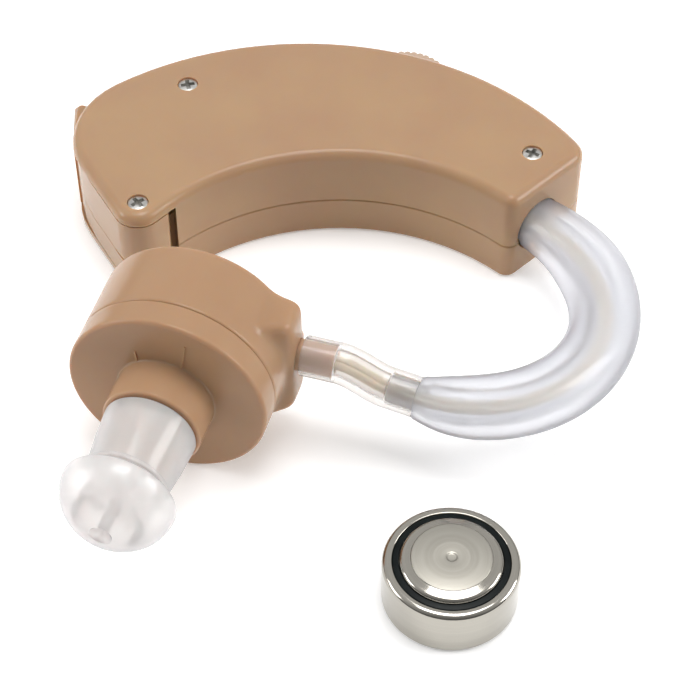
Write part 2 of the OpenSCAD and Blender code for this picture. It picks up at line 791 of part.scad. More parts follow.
// From the hook's frame to the frame of the part
function from_hook_axes(v) = let (y = v.y * cos(hook_roll) + v.z * sin(hook_roll),
    z = v.z * cos(hook_roll) - v.y * sin(hook_roll))
    [v.x * cos(hook_direction) - y * sin(hook_direction),
        v.x * sin(hook_direction) + y * cos(hook_direction), z];
function from_hook(p) = [socket_place.x, socket_place.y, socket_height] + from_hook_axes(p);

bore_ends_share = 0.97;
retainer_gap = 0.1;
retainer_thickness = 0.7;
retainer_to = -collar_depth - retainer_gap;
retainer_from = retainer_to - retainer_thickness;
groove_depth = 0.4;
module ear_hook() {
    color(clear) difference() {
        union() {
            at_hook() {
                along_x(stub_radius, -stub_length, overrun_length);
                pipe([for (u = hook_us) hook_flat(u)], [for (u = hook_us) hook_heading(u)],
                    [for (u = hook_us) hook_girth(u)], 24);
            }
            at_hook_tip() along_x(nipple_radius, -nipple_radius, nipple_length);
        }
        at_hook() {
            along_x(hook_bore_radius, -stub_length - overrun_length, overrun_length);
            pipe([for (u = hook_us) hook_flat(u * bore_ends_share)],
                [for (u = hook_us) hook_heading(u * bore_ends_share)],
                [for (u = hook_us) hook_bore_radius], 12);
            difference() {
                along_x(2 * stub_radius, retainer_from - fit_gap, retainer_to + fit_gap);
                along_x(stub_radius - groove_depth, retainer_from - overrun_length,
                    retainer_to + overrun_length);
            }
        }
        at_hook_tip() along_x(nipple_bore_radius, -2 * nipple_radius, nipple_length + overrun_length);
    }
}

retainer_radius = 2.9;
module hook_retainer() {
    color(steel) at_hook() difference() {
        along_x(retainer_radius, retainer_from, retainer_to);
        along_x(stub_radius - groove_depth + fit_gap, retainer_from - overrun_length,
            retainer_to + overrun_length);
        translate([retainer_from - overrun_length, 0, 0])
            rotate([45, 0, 0]) cube([2 * retainer_thickness, retainer_radius * 2, retainer_radius * 2]);
    }
}

// Drum: frame whose Z axis leaves the front face and whose X axis runs to the tube
module at_drum() {
    translate([drum_x, drum_y, drum_radius]) rotate([90, 0, drum_turn]) children();
}
function from_drum_axes(v) = [v.x * cos(drum_turn) + v.z * sin(drum_turn),
    v.x * sin(drum_turn) - v.z * cos(drum_turn), v.y];
function from_drum(p) = [drum_x, drum_y, drum_radius] + from_drum_axes(p);
lug_reach = drum_radius + lug_length;
module at_spigot() {
    at_drum() translate([0, 0, -lug_depth]) children();
}

// Clear tube: straight on the pipe, a gentle bend, straight on the nipple
tube_setback_length = 0.36;
tube_start = lug_reach + tube_setback_length;
spigot_end = lug_reach + spigot_length;
tube_lap_length = 0.3;
bend_from = from_drum([spigot_end + tube_lap_length / 2, 0, -lug_depth]);
bend_from_along = from_drum_axes([1, 0, 0]);
tip_along = from_hook_axes(hook_heading(1));
bend_to = from_hook(hook_flat(1)) + (nipple_length + tube_lap_length / 2) * tip_along;
bend_reach = norm(bend_to - bend_from) / 3;
bend_steps = 10;
bend_us = [for (i = [0 : bend_steps]) i / bend_steps];
bend_poles = [bend_from, bend_from + bend_reach * bend_from_along,
    bend_to + bend_reach * tip_along, bend_to];
function bend_at(t) = pow(1 - t, 3) * bend_poles[0] + 3 * t * pow(1 - t, 2) * bend_poles[1]
    + 3 * t * t * (1 - t) * bend_poles[2] + t * t * t * bend_poles[3];
function bend_along(t) = unit(pow(1 - t, 2) * (bend_poles[1] - bend_poles[0])
    + 2 * t * (1 - t) * (bend_poles[2] - bend_poles[1]) + t * t * (bend_poles[3] - bend_poles[2]));
bend_path = concat([bend_from - tube_lap_length * bend_from_along], [for (t = bend_us) bend_at(t)],
    [bend_to - tube_lap_length * tip_along]);
bend_tangents = concat([bend_from_along], [for (t = bend_us) bend_along(t)], [-tip_along]);
tube_facet_share = 0.985;

module sound_tube() {
    color(clear) difference() {
        union() {
            at_spigot() along_x(tube_radius, tube_start, spigot_end + tube_lap_length);
            pipe(bend_path, bend_tangents,
                [for (p = bend_path) tube_radius * tube_facet_share], 20);
            at_hook_tip() along_x(tube_radius, fit_gap, nipple_length + tube_lap_length);
        }
        at_spigot() along_x(spigot_radius + running_clearance, tube_start - overrun_length,
            spigot_end + fit_gap);
        pipe(concat([bend_path[0] - overrun_length * bend_from_along], bend_path,
            [bend_path[len(bend_path) - 1] - overrun_length * tip_along]),
            concat([bend_from_along], bend_tangents, [-tip_along]),
            [for (i = [0 : len(bend_path) + 1]) tube_bore_radius], 12);
        at_hook_tip() along_x(nipple_radius + fit_gap, -overrun_length, nipple_length + fit_gap);
    }
}

// Two leads side by side from the board's end, through the hook and the tube
lead_apart = 1.05;
lead_tail_length = 1;
lead_from = -stub_length - lead_tail_length;
lead_steps = 26;
lead_us = [for (i = [0 : lead_steps]) i / lead_steps];
lead_bend_end = [for (i = [len(bend_us) - 1 : -1 : 0]) bend_us[i]];
lead_path = concat([from_hook([lead_from, 0, 0])], [for (u = lead_us) from_hook(hook_flat(u))],
    [for (t = lead_bend_end) bend_at(t)],
    [from_drum([lug_reach, 0, -lug_depth])]);
lead_along = concat([from_hook_axes([1, 0, 0])], [for (u = lead_us) from_hook_axes(hook_heading(u))],
    [for (t = lead_bend_end) -bend_along(t)], [-bend_from_along]);
module receiver_leads() {
    color([0.9, 0.85, 0.72]) for (side = [-1, 1])
        pipe([for (i = [0 : len(lead_path) - 1]) lead_path[i]
                + side * lead_radius * lead_apart * unit(cross(lead_along[i], [0, 0, 1]))],
            lead_along, [for (p = lead_path) lead_radius], 8);
}

// Quarter round of a turned profile, as radius and height
function arc(cx, cy, r, from, to, n) = [for (i = [0 : n]) [cx, cy] + polar(r, from + (to - from) * i / n)];

cavity_radius = drum_radius - drum_wall;
cover_lip_height = 1;
cover_lip_thickness = 0.7;
frame_radius = cavity_radius - fit_gap - cover_lip_thickness - frame_gap;
// Roots and end of the lug, as shares of its reach, height and depth
lug_shares = [[1, 1, 1.95], [0.6, 1.12, 3]];
module rear_cup() {
    color(beige) difference() {
        union() {
            at_drum() rotate_extrude() polygon(concat([[0, -drum_depth]],
                arc(drum_radius - drum_edge_radius, drum_edge_radius - drum_depth, drum_edge_radius,
                    -90, 0, 8),
                [[drum_radius, -drum_seam_depth - seam_groove_depth],
                    [drum_radius - seam_groove_depth, -drum_seam_depth], [0, -drum_seam_depth]]));
            // the lug rises out of the drum's side and is lower and shallower at its end
            at_drum() hull() for (side = [-1, 1], l = lug_shares)
                translate([l[0] * (lug_reach - lug_edge_radius),
                    side * (l[1] * lug_half_height - lug_edge_radius), drum_edge_radius / 2 - drum_depth])
                    cylinder(r = lug_edge_radius, h = l[2] * (drum_depth - lug_depth));
        }
        at_drum() translate([0, 0, drum_wall - drum_depth]) cylinder(r = cavity_radius, h = drum_depth);
        at_spigot() {
            along_x(spigot_bore_radius, cavity_radius / 2, lug_reach + overrun_length);
            along_x(spigot_radius + fit_gap, lug_reach - spigot_seat_depth, lug_reach + overrun_length);
        }
    }
    // ribs that the driver stands on
    color(beige) at_drum() for (a = [30, 150, 270]) rotate(a)
        translate([frame_radius - rib_length, -rib_width / 2, drum_wall - drum_depth - fit_gap])
            cube([rib_length, rib_width, frame_rear - drum_wall + drum_depth]);
}
rib_length = 2.2;
rib_width = 0.9;
spigot_seat_depth = 0.9;

// Front cover with the nozzle and the stem of the ear tip
filter_seat_depth = 0.7;
filter_radius = 2.2;
nozzle_edge_radius = 0.35;
stem_end = nozzle_length + stem_length;
module front_cover() {
    inside = cavity_radius - fit_gap;
    color(beige) at_drum() difference() {
        union() {
            rotate_extrude() polygon(concat(
                [[passage_radius, -drum_wall], [inside - cover_lip_thickness, -drum_wall],
                    [inside - cover_lip_thickness, -drum_seam_depth - cover_lip_height],
                    [inside, -drum_seam_depth - cover_lip_height],
                    [inside, -drum_seam_depth], [drum_radius - seam_groove_depth, -drum_seam_depth],
                    [drum_radius, seam_groove_depth - drum_seam_depth]],
                arc(drum_radius - drum_edge_radius, -drum_edge_radius, drum_edge_radius, 0, 90, 8),
                [[nozzle_radius, 0]],
                arc(nozzle_radius - nozzle_edge_radius, nozzle_length - nozzle_edge_radius,
                    nozzle_edge_radius, 0, 90, 5),
                [[stem_radius, nozzle_length], [stem_radius, stem_end - nozzle_edge_radius],
                    [stem_radius - nozzle_edge_radius, stem_end], [passage_radius, stem_end]]));
            // two small ribs at the nozzle's foot
            for (side = [-1, 1]) rotate(90 + side * 32)
                translate([nozzle_radius - fit_gap, -drum_edge_radius / 5, -fit_gap])
                    cube([drum_edge_radius * 2, drum_edge_radius / 2.5, drum_edge_radius / 2.5]);
        }
        translate([0, 0, stem_end - filter_seat_depth]) cylinder(r = filter_radius, h = stem_length);
    }
}

module tube_spigot() {
    color([0.86, 0.72, 0.58]) at_spigot() difference() {
        union() {
            along_x(spigot_radius, lug_reach - spigot_seat_depth, spigot_end - nozzle_edge_radius);
            along_x(spigot_radius, spigot_end - nozzle_edge_radius, spigot_end,
                spigot_radius - nozzle_edge_radius / 2);
        }
        along_x(spigot_bore_radius, lug_reach - spigot_seat_depth - overrun_length,
            spigot_end + overrun_length);
    }
}

// Driver: heights are measured from the drum's front face
frame_depth = 7;
frame_rear = -frame_depth;
frame_front = frame_rear + frame_height;
coil_radius = magnet_radius + coil_gap;
vent_radius = 2.2;
module driver_frame() {
    color(steel) at_drum() translate([0, 0, frame_rear]) difference() {
        cylinder(r = frame_radius, h = frame_height);
        translate([0, 0, frame_wall]) cylinder(r = frame_radius - frame_wall, h = frame_height);
        for (a = [0 : 60 : 300]) rotate(a)
            translate([(frame_radius + magnet_radius) / 2, 0, -overrun_length])
                cylinder(r = frame_wall, h = frame_height);
    }
}
module driver_magnet() {
    color([0.35, 0.35, 0.37]) at_drum() translate([0, 0, frame_rear + frame_wall])
        cylinder(r = magnet_radius, h = magnet_height);
}
module driver_pole() {
    color(steel) at_drum() translate([0, 0, frame_rear + frame_wall + magnet_height])
        cylinder(r = magnet_radius, h = pole_thickness);
}
module voice_coil() {
    color([0.72, 0.4, 0.2]) at_drum() translate([0, 0, frame_front - diaphragm_thickness - coil_height])
        difference() {
            cylinder(r = coil_radius + coil_wall, h = coil_height);
            translate([0, 0, -overrun_length])
                cylinder(r = coil_radius, h = coil_height + 2 * overrun_length);
        }
}
module diaphragm() {
    frame_inner = frame_radius - frame_wall;
    color([0.75, 0.7, 0.5, 0.7]) at_drum() translate([0, 0, frame_front - diaphragm_thickness]) {
        cylinder(r = frame_inner - fit_gap, h = diaphragm_thickness);
    }
}
module driver_gasket() {
    outer = frame_radius - 2 * frame_wall / 3;
    color([0.2, 0.2, 0.2]) at_drum() translate([0, 0, frame_front]) difference() {
        cylinder(r = outer, h = -drum_wall - frame_front);
        translate([0, 0, -overrun_length])
            cylinder(r = outer - 3 * frame_wall, h = drum_seam_depth + overrun_length);
    }
}
terminal_length = 4;
terminal_width = 2.4;
terminal_thickness = 0.4;
terminal_plate = [terminal_length, terminal_width, terminal_thickness];
module driver_terminals() {
    color([0.6, 0.45, 0.2]) at_drum() translate([0, 0, frame_rear - terminal_plate.z]) {
        translate([-terminal_plate.x / 2, -terminal_plate.y / 2, 0]) cube(terminal_plate);
        for (side = [-1, 1]) translate([0, side * terminal_plate.y / 4, -terminal_plate.z / 2])
            cylinder(r = terminal_plate.z, h = terminal_plate.z);
    }
}
module drum_leads() {
    wire = lead_radius * 0.7;
    color([0.9, 0.85, 0.72]) at_spigot() for (side = [-1, 1])
        translate([0, side * terminal_plate.y / 4, lug_depth + frame_rear - 1.55 * terminal_plate.z - wire])
            along_x(wire, 0, lug_reach - spigot_seat_depth);
}
module wax_filter() {
    color([0.85, 0.85, 0.85]) at_drum() translate([0, 0, stem_end - filter_seat_depth]) difference() {
        cylinder(r = filter_radius - fit_gap, h = filter_seat_depth / 2);
        for (a = [0 : 60 : 300]) rotate(a) translate([passage_radius / 2 + fit_gap, 0, -overrun_length])
            cylinder(r = passage_radius / 5, h = filter_seat_depth + overrun_length);
    }
}

// Soft ear tip: sleeve, ring, neck and a hollow dome
tip_start = nozzle_length + tip_clearance * 2;
ring_setback_length = 0.5;
ring_at = stem_end + ring_setback_length;
ring_height = 0.45;
rim_at = ring_at + ring_height + rim_distance;
dome_end = rim_at + dome_length;
module ear_tip() {
    bore = stem_radius + tip_clearance;
    inner = dome_radius - dome_wall;
    reach = dome_length - dome_wall * 2;
    lowest = acos(outlet_radius / dome_radius);
    color([0.94, 0.93, 0.93, 0.7]) at_drum() rotate_extrude() polygon(concat(
        [[bore, tip_start], [sleeve_radius - fit_gap * 4, tip_start],
            [sleeve_radius, tip_start + fit_gap * 4],
            [sleeve_end_radius, ring_at], [tip_ring_radius - ring_height / 3, ring_at],
            [tip_ring_radius, ring_at + ring_height / 2],
            [tip_ring_radius - ring_height / 3, ring_at + ring_height],
            [neck_radius, ring_at + ring_height * 1.3]],
        // under the skirt, out to the rim and back over the dome
        [for (i = [0 : 6]) let (a = acos(neck_radius / inner) * (1 - i / 6))
            [inner * cos(a), rim_at + reach * sin(a)]],
        [[dome_radius - dome_wall / 4, rim_at - dome_wall / 4]],
        [for (i = [0 : 12]) let (a = lowest * i / 12)
            [dome_radius * cos(a), rim_at + dome_length * sin(a)]],
        [[outlet_radius, stem_end + tip_clearance * 3], [bore, stem_end + tip_clearance * 3]]));
}

// Button cell, cap upwards: can, seal and cap
module at_cell() {
    translate([cell_x, cell_y, 0]) children();
}
can_height = cell_height - can_step_height;
cell_edge_radius = 0.45;
seal_gap = cap_radius + can_wall;
module cell_can() {
    inner = cell_radius - can_wall;
    color(steel) at_cell() rotate_extrude() polygon(concat([[0, 0]],
        arc(cell_radius - cell_edge_radius, cell_edge_radius, cell_edge_radius, -90, 0, 6),
        arc(cell_radius - cell_edge_radius, can_height - cell_edge_radius, cell_edge_radius, 0, 90, 6),
        [[can_mouth_radius, can_height], [can_mouth_radius, can_height - can_wall],
            [inner, can_height - can_wall - cell_edge_radius], [inner, can_wall], [0, can_wall]]));
}
module cell_seal() {
    color([0.1, 0.1, 0.11]) at_cell() rotate_extrude() polygon([
        [seal_gap - can_wall + fit_gap, can_height / 2], [cell_radius - can_wall - fit_gap, can_height / 2],
        [cell_radius - can_wall - fit_gap, can_height - can_wall - cell_edge_radius - fit_gap],
        [can_mouth_radius - fit_gap, can_height - can_wall - fit_gap],
        [can_mouth_radius - fit_gap, can_height + fit_gap * 2],
        [cap_radius + fit_gap, can_height + fit_gap * 2]]);
}
dimple_radius = 0.5;
dimple_depth = 0.06;
module cell_cap() {
    shoulder = cell_height - can_wall;
    color(steel) at_cell() rotate_extrude() polygon([
        [0, can_wall + fit_gap], [seal_gap - can_wall, can_wall + fit_gap], [cap_radius, can_height],
        [cap_radius - can_wall / 2, shoulder - can_wall / 2], [cap_flat_radius + can_wall * 2, shoulder],
        [cap_flat_radius, cell_height],
        [dimple_radius, cell_height], [dimple_radius * 0.6, cell_height - dimple_depth],
        [0, cell_height - dimple_depth]]);
}

top_shell();
bottom_shell();
case_screws();
circuit_board();
amplifier_chip();
capacitors();
chip_resistors();
microphone_capsule();
microphone_boot();
volume_control_body();
positive_contact();
negative_contact();
battery_door();
volume_wheel();
volume_shaft();
wheel_screw();
ear_hook();
hook_retainer();
sound_tube();
receiver_leads();
rear_cup();
front_cover();
tube_spigot();
driver_frame();
driver_magnet();
driver_pole();
voice_coil();
diaphragm();
driver_gasket();
driver_terminals();
drum_leads();
wax_filter();
ear_tip();
cell_can();
cell_seal();
cell_cap();
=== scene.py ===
"""Behind the ear hearing aid with its button cell, dressed for a studio picture.

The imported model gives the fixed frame. Each sub-assembly is a class that builds its own
moulded, turned and swept pieces over the frame's nodes and gives them their finishes.
Lengths in the classes are millimetres, and finished meshes are in metres.
"""
import logging
from dataclasses import dataclass
from enum import Enum
from math import acos, atan2, cos, degrees, hypot, pi, radians, sin
from typing import Callable, NamedTuple, Sequence

import bmesh
import bpy
from mathutils import Matrix, Vector


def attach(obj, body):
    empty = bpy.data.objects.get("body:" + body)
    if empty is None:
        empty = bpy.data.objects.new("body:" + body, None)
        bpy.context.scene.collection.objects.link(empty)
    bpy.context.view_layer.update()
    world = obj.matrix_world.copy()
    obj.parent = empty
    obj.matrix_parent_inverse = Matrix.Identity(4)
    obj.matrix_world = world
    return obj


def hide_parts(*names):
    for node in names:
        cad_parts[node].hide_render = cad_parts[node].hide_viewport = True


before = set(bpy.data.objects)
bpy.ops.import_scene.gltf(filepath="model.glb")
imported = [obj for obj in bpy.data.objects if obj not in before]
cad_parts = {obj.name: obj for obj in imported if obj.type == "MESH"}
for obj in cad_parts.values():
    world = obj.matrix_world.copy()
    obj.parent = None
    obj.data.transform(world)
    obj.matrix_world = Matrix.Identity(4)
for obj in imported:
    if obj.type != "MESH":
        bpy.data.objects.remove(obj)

log = logging.getLogger("hearing_aid")

Mesh = bmesh.types.BMesh
Tint = tuple[float, float, float]
Place = tuple[float, float, float]
Pair = tuple[float, float]
# Radius, height and, where the corner is rounded, rounding of each place.
Profile = Sequence[tuple[float, ...]]

METRE = 0.001
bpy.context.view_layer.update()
UP = Vector((0, 0, 1))

# Places and turns that several sub-assemblies share, in millimetres and radians.
CELL_CENTRE = (11.4, -52.3, 0.0)
DRUM_CENTRE = (-12.8, -37.9, 9.0)
DRUM_TURN = (radians(90), 0.0, radians(-16.5))
DRUM_PLACE = (Matrix.Translation(DRUM_CENTRE) @ Matrix.Rotation(DRUM_TURN[2], 4, "Z")
              @ Matrix.Rotation(DRUM_TURN[0], 4, "X"))
CORNER_SCREW = (-16.7774, -15.076)

# Places of a turned piece closer than MERGED are one, and closer than MATCHED are alike.
MERGED, MATCHED = 1e-5, 1e-4
# The same for the CAD's meshes, which are in metres, and the bend that still counts as flat.
CAD_MERGED, CAD_SLIVER, CAD_FLAT = 2e-6, 1e-6, radians(0.4)
# Steps of a rounded corner of a turned piece, and of a rounded edge of a moulded one.
CORNER_STEPS, EDGE_STEPS = 5, 2
# Angle in degrees above which a moulded piece's edge is rounded.
MOULD_SHARP = 25.0
NORMAL_WEIGHT = 60
# Octaves of the noise of a mottled relief and of a turned one.
MOTTLE_DETAIL, RING_DETAIL = 4.0, 2.0
# Clear plastic gets a painted edge shade: its colour is darkened where it is seen edge on,
# over this span.
EDGE_SHADE_BLEND, EDGE_SHADE_SPAN = 0.28, (0.15, 0.78)


class Pattern(Enum):
    """How a finish varies over a surface."""

    MOTTLED = "mottled"
    TURNED = "turned"
    WOUND = "wound"
    LAID = "laid"


class Recipe:
    """Node tree of a material or a world, with helpers that add nodes to it."""

    def __init__(self, owner: bpy.types.ID, places: str = "Object") -> None:
        """Empties the owner's node tree.

        Args:
            owner: Material or world of the tree.
            places: Kind of coordinates that the nodes use.
        """
        owner.use_nodes = True
        self.tree = owner.node_tree
        self.tree.nodes.clear()
        self.places = self.add("ShaderNodeTexCoord").outputs[places]

    def add(self, kind: str, inputs: dict[str | int, object] | None = None,
            **values: object) -> bpy.types.Node:
        """Adds a node and feeds it.

        Args:
            kind: Blender's name of the node type.
            inputs: Output socket, number or tuple for each input that is fed.
            **values: Properties of the node.

        Returns:
            The new node.
        """
        node = self.tree.nodes.new(kind)
        for key, value in values.items():
            setattr(node, key, value)
        for key, source in (inputs or {}).items():
            if isinstance(source, bpy.types.NodeSocket):
                self.tree.links.new(source, node.inputs[key])
            else:
                node.inputs[key].default_value = source
        return node

    def noise(self, scale: float, detail: float = 3.0, places: object = None) -> object:
        """Adds a noise over the piece.

        Args:
            scale: Waves in a metre.
            detail: Octaves of the noise.
            places: Coordinates, the tree's own ones if left out.

        Returns:
            The noise's value output.
        """
        return self.add("ShaderNodeTexNoise", {
            "Vector": places or self.places, "Scale": scale, "Detail": detail}).outputs["Fac"]

    def spread(self, value: object, low: float, high: float,
               start: float = 0.3, stop: float = 0.7) -> object:
        """Maps a value into a range.

        Args:
            value: Output socket to map.
            low: Result where the value is at start.
            high: Result where the value is at stop.
            start: Lower end of the value.
            stop: Upper end of the value.

        Returns:
            The mapped output.
        """
        return self.add("ShaderNodeMapRange", {
            "Value": value, "From Min": start, "From Max": stop, "To Min": low,
            "To Max": high}).outputs["Result"]

    def blend(self, share: object, first: object, second: Tint) -> object:
        """Mixes two tints.

        Args:
            share: Output socket from 0 to 1.
            first: Tint at 0, or the output socket of one.
            second: Tint at 1.

        Returns:
            The colour output.
        """
        start = (*first, 1.0) if isinstance(first, tuple) else first
        return self.add("ShaderNodeMix", {"Factor": share, 6: start, 7: (*second, 1.0)},
                        data_type="RGBA").outputs[2]


@dataclass(frozen=True)
class Finish:
    """A finish with its tints, its gloss and the pattern that varies them."""

    name: str
    light: Tint
    dark: Tint
    roughness: Pair
    grain: float = 140.0
    pattern: Pattern = Pattern.MOTTLED
    pattern_bend: float = 0.4
    relief_grain: float = 2600.0
    relief_depth: float = 0.00001
    relief_strength: float = 0.25
    centre: Place = (0.0, 0.0, 0.0)
    turn: Place = (0.0, 0.0, 0.0)
    metallic: float = 0.0
    transmission: float = 0.0
    ior: float = 1.46
    subsurface: float = 0.0
    subsurface_scale: float = 0.001
    subsurface_radius: Tint = (1.0, 0.55, 0.35)
    coat: float = 0.0
    coat_roughness: float = 0.1
    specular: float = 0.5
    glow: float = 0.0
    # Tint of the painted edge shade that darkens a clear piece's colour where it is seen edge
    # on, if any.
    edge_shade: Tint | None = None

    def _relief_height(self, recipe: Recipe) -> object:
        """Builds the height of the finish's relief for its pattern.

        Args:
            recipe: Node tree to build in.

        Returns:
            The height output.
        """
        if self.pattern is Pattern.MOTTLED:
            return recipe.noise(self.relief_grain, MOTTLE_DETAIL)
        own = recipe.add("ShaderNodeMapping", {
            "Vector": recipe.places, "Location": tuple(c * METRE for c in self.centre),
            "Rotation": self.turn}, vector_type="TEXTURE").outputs["Vector"]
        if self.pattern is Pattern.TURNED:
            parts = recipe.add("ShaderNodeSeparateXYZ", {"Vector": own}).outputs
            flat = recipe.add("ShaderNodeCombineXYZ", {"X": parts["X"], "Y": parts["Y"]})
            length = recipe.add("ShaderNodeVectorMath", {0: flat.outputs["Vector"]},
                                operation="LENGTH")
            rings = recipe.add("ShaderNodeCombineXYZ", {
                "X": length.outputs["Value"], "Y": parts["Z"]})
            return recipe.noise(self.relief_grain, RING_DETAIL, rings.outputs["Vector"])
        wave = recipe.add(
            "ShaderNodeTexWave",
            {"Vector": own, "Scale": self.relief_grain, "Distortion": self.pattern_bend},
            wave_type="BANDS", bands_direction="Z" if self.pattern is Pattern.WOUND else "X")
        return wave.outputs["Fac"]

    def material(self) -> bpy.types.Material:
        """Makes the finish's material, or finds it after its first use.

        Returns:
            The material.
        """
        made = bpy.data.materials.get(self.name)
        if made:
            return made
        made = bpy.data.materials.new(self.name)
        recipe = Recipe(made)
        height = self._relief_height(recipe)
        cloud = recipe.noise(self.grain) if self.pattern is Pattern.MOTTLED else height
        tint = recipe.blend(recipe.spread(cloud, 0.0, 1.0), self.dark, self.light)
        # Painted edge shade: the colour darkens towards this tint where the surface is seen
        # edge on.
        if self.edge_shade:
            edge = recipe.add("ShaderNodeLayerWeight", {"Blend": EDGE_SHADE_BLEND}).outputs["Facing"]
            tint = recipe.blend(recipe.spread(edge, 0.0, 1.0, *EDGE_SHADE_SPAN), tint, self.edge_shade)
        bump = recipe.add("ShaderNodeBump", {
            "Strength": self.relief_strength, "Distance": self.relief_depth, "Height": height})
        shader = recipe.add("ShaderNodeBsdfPrincipled", {
            "Base Color": tint, "Roughness": recipe.spread(cloud, *self.roughness),
            "Normal": bump.outputs["Normal"], "Metallic": self.metallic, "IOR": self.ior,
            "Transmission Weight": self.transmission, "Subsurface Weight": self.subsurface,
            "Subsurface Scale": self.subsurface_scale,
            "Subsurface Radius": self.subsurface_radius, "Coat Weight": self.coat,
            "Coat Roughness": self.coat_roughness, "Emission Strength": self.glow,
            "Specular IOR Level": self.specular})
        recipe.add("ShaderNodeOutputMaterial", {"Surface": shader.outputs["BSDF"]})
        made.diffuse_color = (*self.light, 1.0)
        return made


# Values that alike finishes share.
BEIGE = {"grain": 110.0, "subsurface": 0.55, "subsurface_scale": 0.0014,
         "subsurface_radius": (1.0, 0.42, 0.18), "relief_depth": 0.000006, "specular": 0.15}
NICKEL = {"metallic": 1.0, "pattern": Pattern.TURNED, "centre": CELL_CENTRE,
          "relief_depth": 0.000002}
DRIVER = {"centre": DRUM_CENTRE, "turn": DRUM_TURN, "relief_depth": 0.00004}

CASE_PLASTIC = Finish(
    "satin_beige_plastic", (0.386, 0.249, 0.141), (0.356, 0.219, 0.132), (0.21, 0.26),
    coat=0.22, coat_roughness=0.16, **BEIGE)
DRUM_PLASTIC = Finish(
    "satin_pink_beige_plastic", (0.384, 0.236, 0.138), (0.355, 0.214, 0.124), (0.20, 0.26),
    coat=0.12, coat_roughness=0.2, **BEIGE)
PIPE_PLASTIC = Finish(
    "translucent_beige_plastic", (0.62, 0.385, 0.25), (0.58, 0.355, 0.23), (0.3, 0.38),
    subsurface=0.5, subsurface_scale=0.002)
WHEEL_PLASTIC = Finish(
    "worn_wheel_plastic", (0.48, 0.35, 0.26), (0.40, 0.285, 0.205), (0.42, 0.55), 600.0,
    subsurface=0.1)
# The hook, tube and tip finishes darken at their edges with a painted edge shade.
HOOK_PLASTIC = Finish(
    "milky_clear_plastic", (0.905, 0.91, 0.945), (0.875, 0.885, 0.925), (0.285, 0.32), 260.0,
    transmission=0.78, ior=1.3, subsurface=0.6, subsurface_scale=0.004,
    subsurface_radius=(1.0, 1.0, 1.0), relief_grain=500.0, relief_depth=0.00002,
    relief_strength=0.08, coat=0.25, coat_roughness=0.08, specular=0.35,
    edge_shade=(0.24, 0.24, 0.30))
TUBE_VINYL = Finish(
    "clear_vinyl", (0.93, 0.91, 0.89), (0.90, 0.875, 0.85), (0.10, 0.16), 300.0,
    transmission=0.86, ior=1.16, subsurface=0.2, relief_grain=700.0, relief_strength=0.1,
    coat=0.5, edge_shade=(0.66, 0.64, 0.64))
TIP_SILICONE = Finish(
    "frosted_silicone", (0.99, 0.955, 0.94), (0.97, 0.93, 0.912), (0.30, 0.35), 240.0,
    transmission=0.64, ior=1.14, subsurface=0.8, subsurface_scale=0.003,
    subsurface_radius=(1.0, 0.85, 0.85), relief_grain=700.0, relief_strength=0.04, coat=0.55,
    coat_roughness=0.14, edge_shade=(0.62, 0.62, 0.65))
SCREW_STEEL = Finish(
    "bright_screw_steel", (0.66, 0.65, 0.62), (0.42, 0.41, 0.39), (0.29, 0.38), 2200.0,
    metallic=1.0, relief_grain=4000.0, relief_depth=0.000006)
CELL_NICKEL = Finish(
    "plated_nickel", (0.42, 0.40, 0.355), (0.39, 0.37, 0.33), (0.09, 0.14),
    relief_grain=5200.0, relief_strength=0.1, **NICKEL)
CELL_CAP_NICKEL = Finish(
    "brushed_cap_nickel", (0.385, 0.367, 0.325), (0.36, 0.342, 0.30), (0.29, 0.35),
    relief_grain=6000.0, relief_strength=0.12, **NICKEL)
SEAL_RUBBER = Finish(
    "black_seal_rubber", (0.004, 0.007, 0.007), (0.002, 0.0035, 0.0035), (0.3, 0.4), 700.0,
    specular=0.15)
BOOT_RUBBER = Finish(
    "black_boot_rubber", (0.035, 0.035, 0.037), (0.02, 0.02, 0.021), (0.6, 0.75), 800.0)
FRAME_STEEL = Finish(
    "drawn_frame_steel", (0.68, 0.67, 0.64), (0.52, 0.51, 0.49), (0.3, 0.42), 800.0,
    metallic=1.0)
MAGNET_METAL = Finish(
    "ground_magnet", (0.22, 0.22, 0.24), (0.13, 0.13, 0.145), (0.4, 0.55), 2600.0,
    metallic=0.8)
COIL_COPPER = Finish(
    "enamelled_copper_winding", (0.82, 0.36, 0.14), (0.32, 0.11, 0.04), (0.25, 0.4),
    metallic=0.85, pattern=Pattern.WOUND, relief_grain=1600.0, relief_strength=0.8, **DRIVER)
FILM = Finish(
    "diaphragm_film", (0.66, 0.56, 0.33), (0.58, 0.48, 0.27), (0.25, 0.4),
    pattern=Pattern.TURNED, relief_grain=900.0, relief_strength=0.5, **DRIVER)
BOARD_MASK = Finish(
    "green_solder_mask", (0.030, 0.160, 0.060), (0.012, 0.095, 0.035), (0.25, 0.4),
    pattern=Pattern.LAID, relief_grain=420.0, relief_depth=0.00002, relief_strength=0.3)
CHIP_EPOXY = Finish(
    "moulded_chip_epoxy", (0.030, 0.030, 0.033), (0.018, 0.018, 0.020), (0.5, 0.65), 3500.0)
CONTROL_PLASTIC = Finish(
    "grey_control_plastic", (0.050, 0.050, 0.058), (0.03, 0.03, 0.036), (0.45, 0.6), 900.0)
CAPACITOR_SLEEVE = Finish(
    "sleeved_aluminium", (0.60, 0.62, 0.66), (0.47, 0.49, 0.53), (0.3, 0.45), 1200.0,
    metallic=0.9)
CONTACT_GOLD = Finish(
    "gold_plating", (0.86, 0.62, 0.26), (0.70, 0.47, 0.17), (0.18, 0.3), 1500.0, metallic=1.0)
LEAD_INSULATION = Finish(
    "cream_insulation", (0.86, 0.76, 0.60), (0.78, 0.67, 0.50), (0.35, 0.45), 500.0,
    subsurface=0.2)
